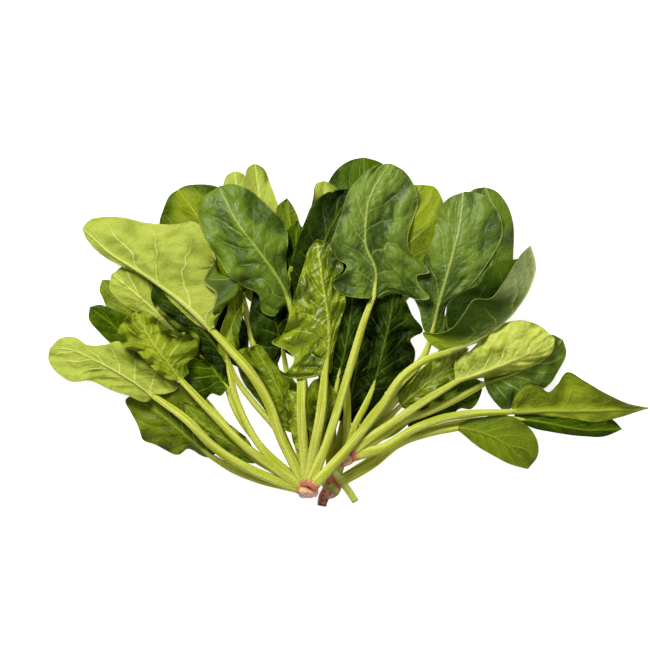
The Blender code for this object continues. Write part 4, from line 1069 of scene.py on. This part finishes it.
def stem_start(one):
    """Where a stem leaves its crown: on the half ring, at the crown's angle nearest its heading."""
    grown_from = CROWNS[one["crown"]]
    middle = np.array(grown_from["middle"], float)
    x, y = np.array((one["stem"] + one["rib"])[0]) - middle
    heading = math.degrees(math.atan2(y, x)) % 360
    turn = math.radians(min(grown_from["angles"], key=lambda angle: abs(angle - heading)))
    return (middle[0] + MOUTH * math.cos(turn), middle[1] + MOUTH * math.sin(turn),
            grown_from["underside"] + LOWEST_STEM)


FAR_FROM_BASE = 30.0


def shift_to_part():
    """The move from the plan to the part, whose solids are centred on its own middle: the median
    distance between a side of a leaf's box that only its blade can reach, because it lies far from
    its base, and the same side of its solid's box."""
    moves = ([], [])
    for one in LEAVES:
        solid = np.array([corner[:2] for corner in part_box(one["name"])]) / MM
        plan = blade(one)[2].reshape(-1, 3)[:, :2]
        sides = np.array([plan.min(axis=0), plan.max(axis=0)])
        base = np.array(stem_start(one)[:2])
        for end, sign in ((0, -1), (1, 1)):
            for axis in (0, 1):
                if sign * (sides[end, axis] - base[axis]) > FAR_FROM_BASE:
                    moves[axis].append(solid[end, axis] - sides[end, axis])
    return np.array([np.median(moves[0]), np.median(moves[1]), 0.0])


SHIFT = shift_to_part()


def lay_leaf(one):
    """Builds a leaf, settles it on the pile and adds it to the pile."""
    grown_from = CROWNS[one["crown"]]
    one["base"] = stem_start(one)
    at, across, sheet, upper, lower, facts = blade(one)
    rings, core, stem_facts, stem_share = stem(one, at, sheet)
    stem_length = length_of([one["base"]] + one["stem"] + [one["rib"][0]])
    under = sheet.copy()
    under[..., 2] -= BLADE_HALF
    stem_lift, blade_lift = settle(core, stem_share, under, at, across, stem_length,
                                   length_of(one["rib"]))
    rings[..., 2] += stem_lift[:, None]
    core[..., 2] += stem_lift[:, None]
    sheet[..., 2] += blade_lift
    under[..., 2] += blade_lift
    sheet[..., 2] += pressed(under)
    made, top = closed_leaf(one, rings, stem_facts, sheet, upper, lower, facts)
    finish = one["shade"] + one["face"]
    if finish not in finishes:
        finishes[finish] = leaf_material(one["shade"], one["face"])
    dress(made, finish, one["name"])
    add_to_pile(top)
    add_to_pile(closed_round(core))
    grown_from["stem_heights"].append(rings[0, :, 2].mean())


# ---- The crowns ---------------------------------------------------------------------------------
# A crown is the short pink piece of root top that all leaves of a plant grow from, cut across at one
# end. Each closes over the bases of its leaves, and is as high as the pile of them.
CROWN_SIDES = 40
CROWN_TURNS = 24
CROWN_TOP = 1.0         # the crown reaches this far over the highest stem base
CROWN_RIBS = (9, 0.05)  # lengthwise ribs round it, and their height as a share of its half width
CUT_OFF = 0.1           # share of its height that is cut flat below, so that it lies well


def crown_rings(one):
    """Rings round a crown's middle line. Its half width w follows the crown's, and its height is
    w / (greatest half width) of the whole, both ribbed by 1 + height * cos(count * turn)."""
    top = max(one["stem_heights"]) + SHEATH[1] + CROWN_TOP
    low = one["underside"]
    middle = (low + top) / 2
    cut = CUT_OFF * (top - low)
    widest = max(one["half_widths"])
    turn = 2 * math.pi * (np.arange(CROWN_SIDES) + 0.5) / CROWN_SIDES
    at = np.linspace(0, 1, CROWN_TURNS)
    centres = curve(one["centres"], at)
    halves = np.interp(at, np.linspace(0, 1, len(one["half_widths"])), one["half_widths"])
    ahead = unit(np.gradient(centres, axis=0))
    ribbed = 1 + CROWN_RIBS[1] * np.cos(CROWN_RIBS[0] * turn)
    rings = []
    for (x, y), (ax, ay), half in zip(centres, ahead, halves):
        across = half * np.cos(turn) * ribbed
        slim = half / widest
        height = middle if low > 0 else middle * slim
        z = np.maximum(height + (top - low) / 2 * slim * np.sin(turn) * ribbed, low + cut) - cut
        rings.append(np.column_stack([x - ay * across, y + ax * across, z]))
    return np.array(rings)


def crown_material(name, cut, middle, leaves, speckle=(222, 196, 150)):
    """A crown's skin: the colours of its cut end, its middle and where its leaves leave it."""
    tree = Tree(name)
    place = tree.nodes.new("ShaderNodeTexCoord").outputs["Object"]
    patches = tree.texture("Noise", 260.0, place, "Fac", Detail=5.0)
    at = tree.math("ADD", tree.fact("along"), tree.times(patches, 0.5))
    colour = tree.mix(tree.ramp(at, 0.4, 0.6), linear(cut), linear(middle))
    colour = tree.mix(tree.ramp(at, 0.7, 0.95), colour, linear(leaves))
    speckles = tree.ramp(patches, 0.45, 0.62, 0.0, 0.5)
    tree.put(tree.shader.inputs["Base Color"], tree.mix(speckles, colour, linear(speckle)))
    tree.shader.inputs["Roughness"].default_value = 0.5
    tree.put(tree.shader.inputs["Normal"], tree.bump(patches, 0.6, 0.0008))
    return tree.material


finishes["crown"] = crown_material("crown_pink", (164, 100, 76), (212, 144, 122), (192, 178, 86))
finishes["crown_green"] = crown_material("crown_green", (128, 66, 44), (176, 106, 84), (150, 158, 52))


def tube_object(name, rings, node, slot_name):
    """A closed, dressed tube of these rings, which are in the plan."""
    turns, sides = rings.shape[:2]
    made = mesh_object(name, rings.reshape(-1, 3) + SHIFT, tube_faces(turns, sides, 0))
    carry(made, "along", np.repeat(np.linspace(0, 1, turns), sides))
    dress(made, slot_name, node)


# ---- The cut stalk ------------------------------------------------------------------------------
# A loose length of leaf stem, cut at both ends, lies by the crowns on the stems that were there
# before it. It is an even ellipse in section.
STALK_PATH = np.array([(-12, -110, 3), (-6, -118, 3), (1, -127, 2.6), (6, -135, 2.4)], float)
STALK_HALF = (2.9, 2.3)
STALK_TURNS = 14
STALK_LIES_ON = "leaf_top_main"
finishes["stalk"] = crown_material("stalk_green", (196, 200, 120), (176, 184, 60), (176, 184, 60),
                                   (206, 210, 110))


def lay_stalk():
    """Builds the stalk as a whole clear of the pile and adds it to the pile."""
    rings = around(curve(STALK_PATH, np.linspace(0, 1, STALK_TURNS)), *STALK_HALF)
    points = finer(closed_round(rings), 3)
    rings[..., 2] += (pile[cells(points)] + CLEARANCE - points[..., 2]).max()
    add_to_pile(closed_round(rings))
    tube_object("cut_stalk_skin", rings, "cut_stalk", "stalk")


# ---- Laying the bunch ---------------------------------------------------------------------------
# The leaves go down in order. A plant's crown closes over its last leaf, and the plant called high
# lies on what is there before its first one.
for one in LEAVES:
    plant = CROWNS[one["crown"]]
    if one["crown"] == "high" and not plant["stem_heights"]:
        plant["underside"] = highest_near(plant["middle"], CROWN_REACH) + CLEARANCE
    lay_leaf(one)
    if one is [other for other in LEAVES if other["crown"] == one["crown"]][-1]:
        rings = crown_rings(plant)
        add_to_pile(rings)
        tube_object(plant["name"] + "_skin", rings, plant["name"], plant["tint"])
    if one["name"] == STALK_LIES_ON:
        lay_stalk()
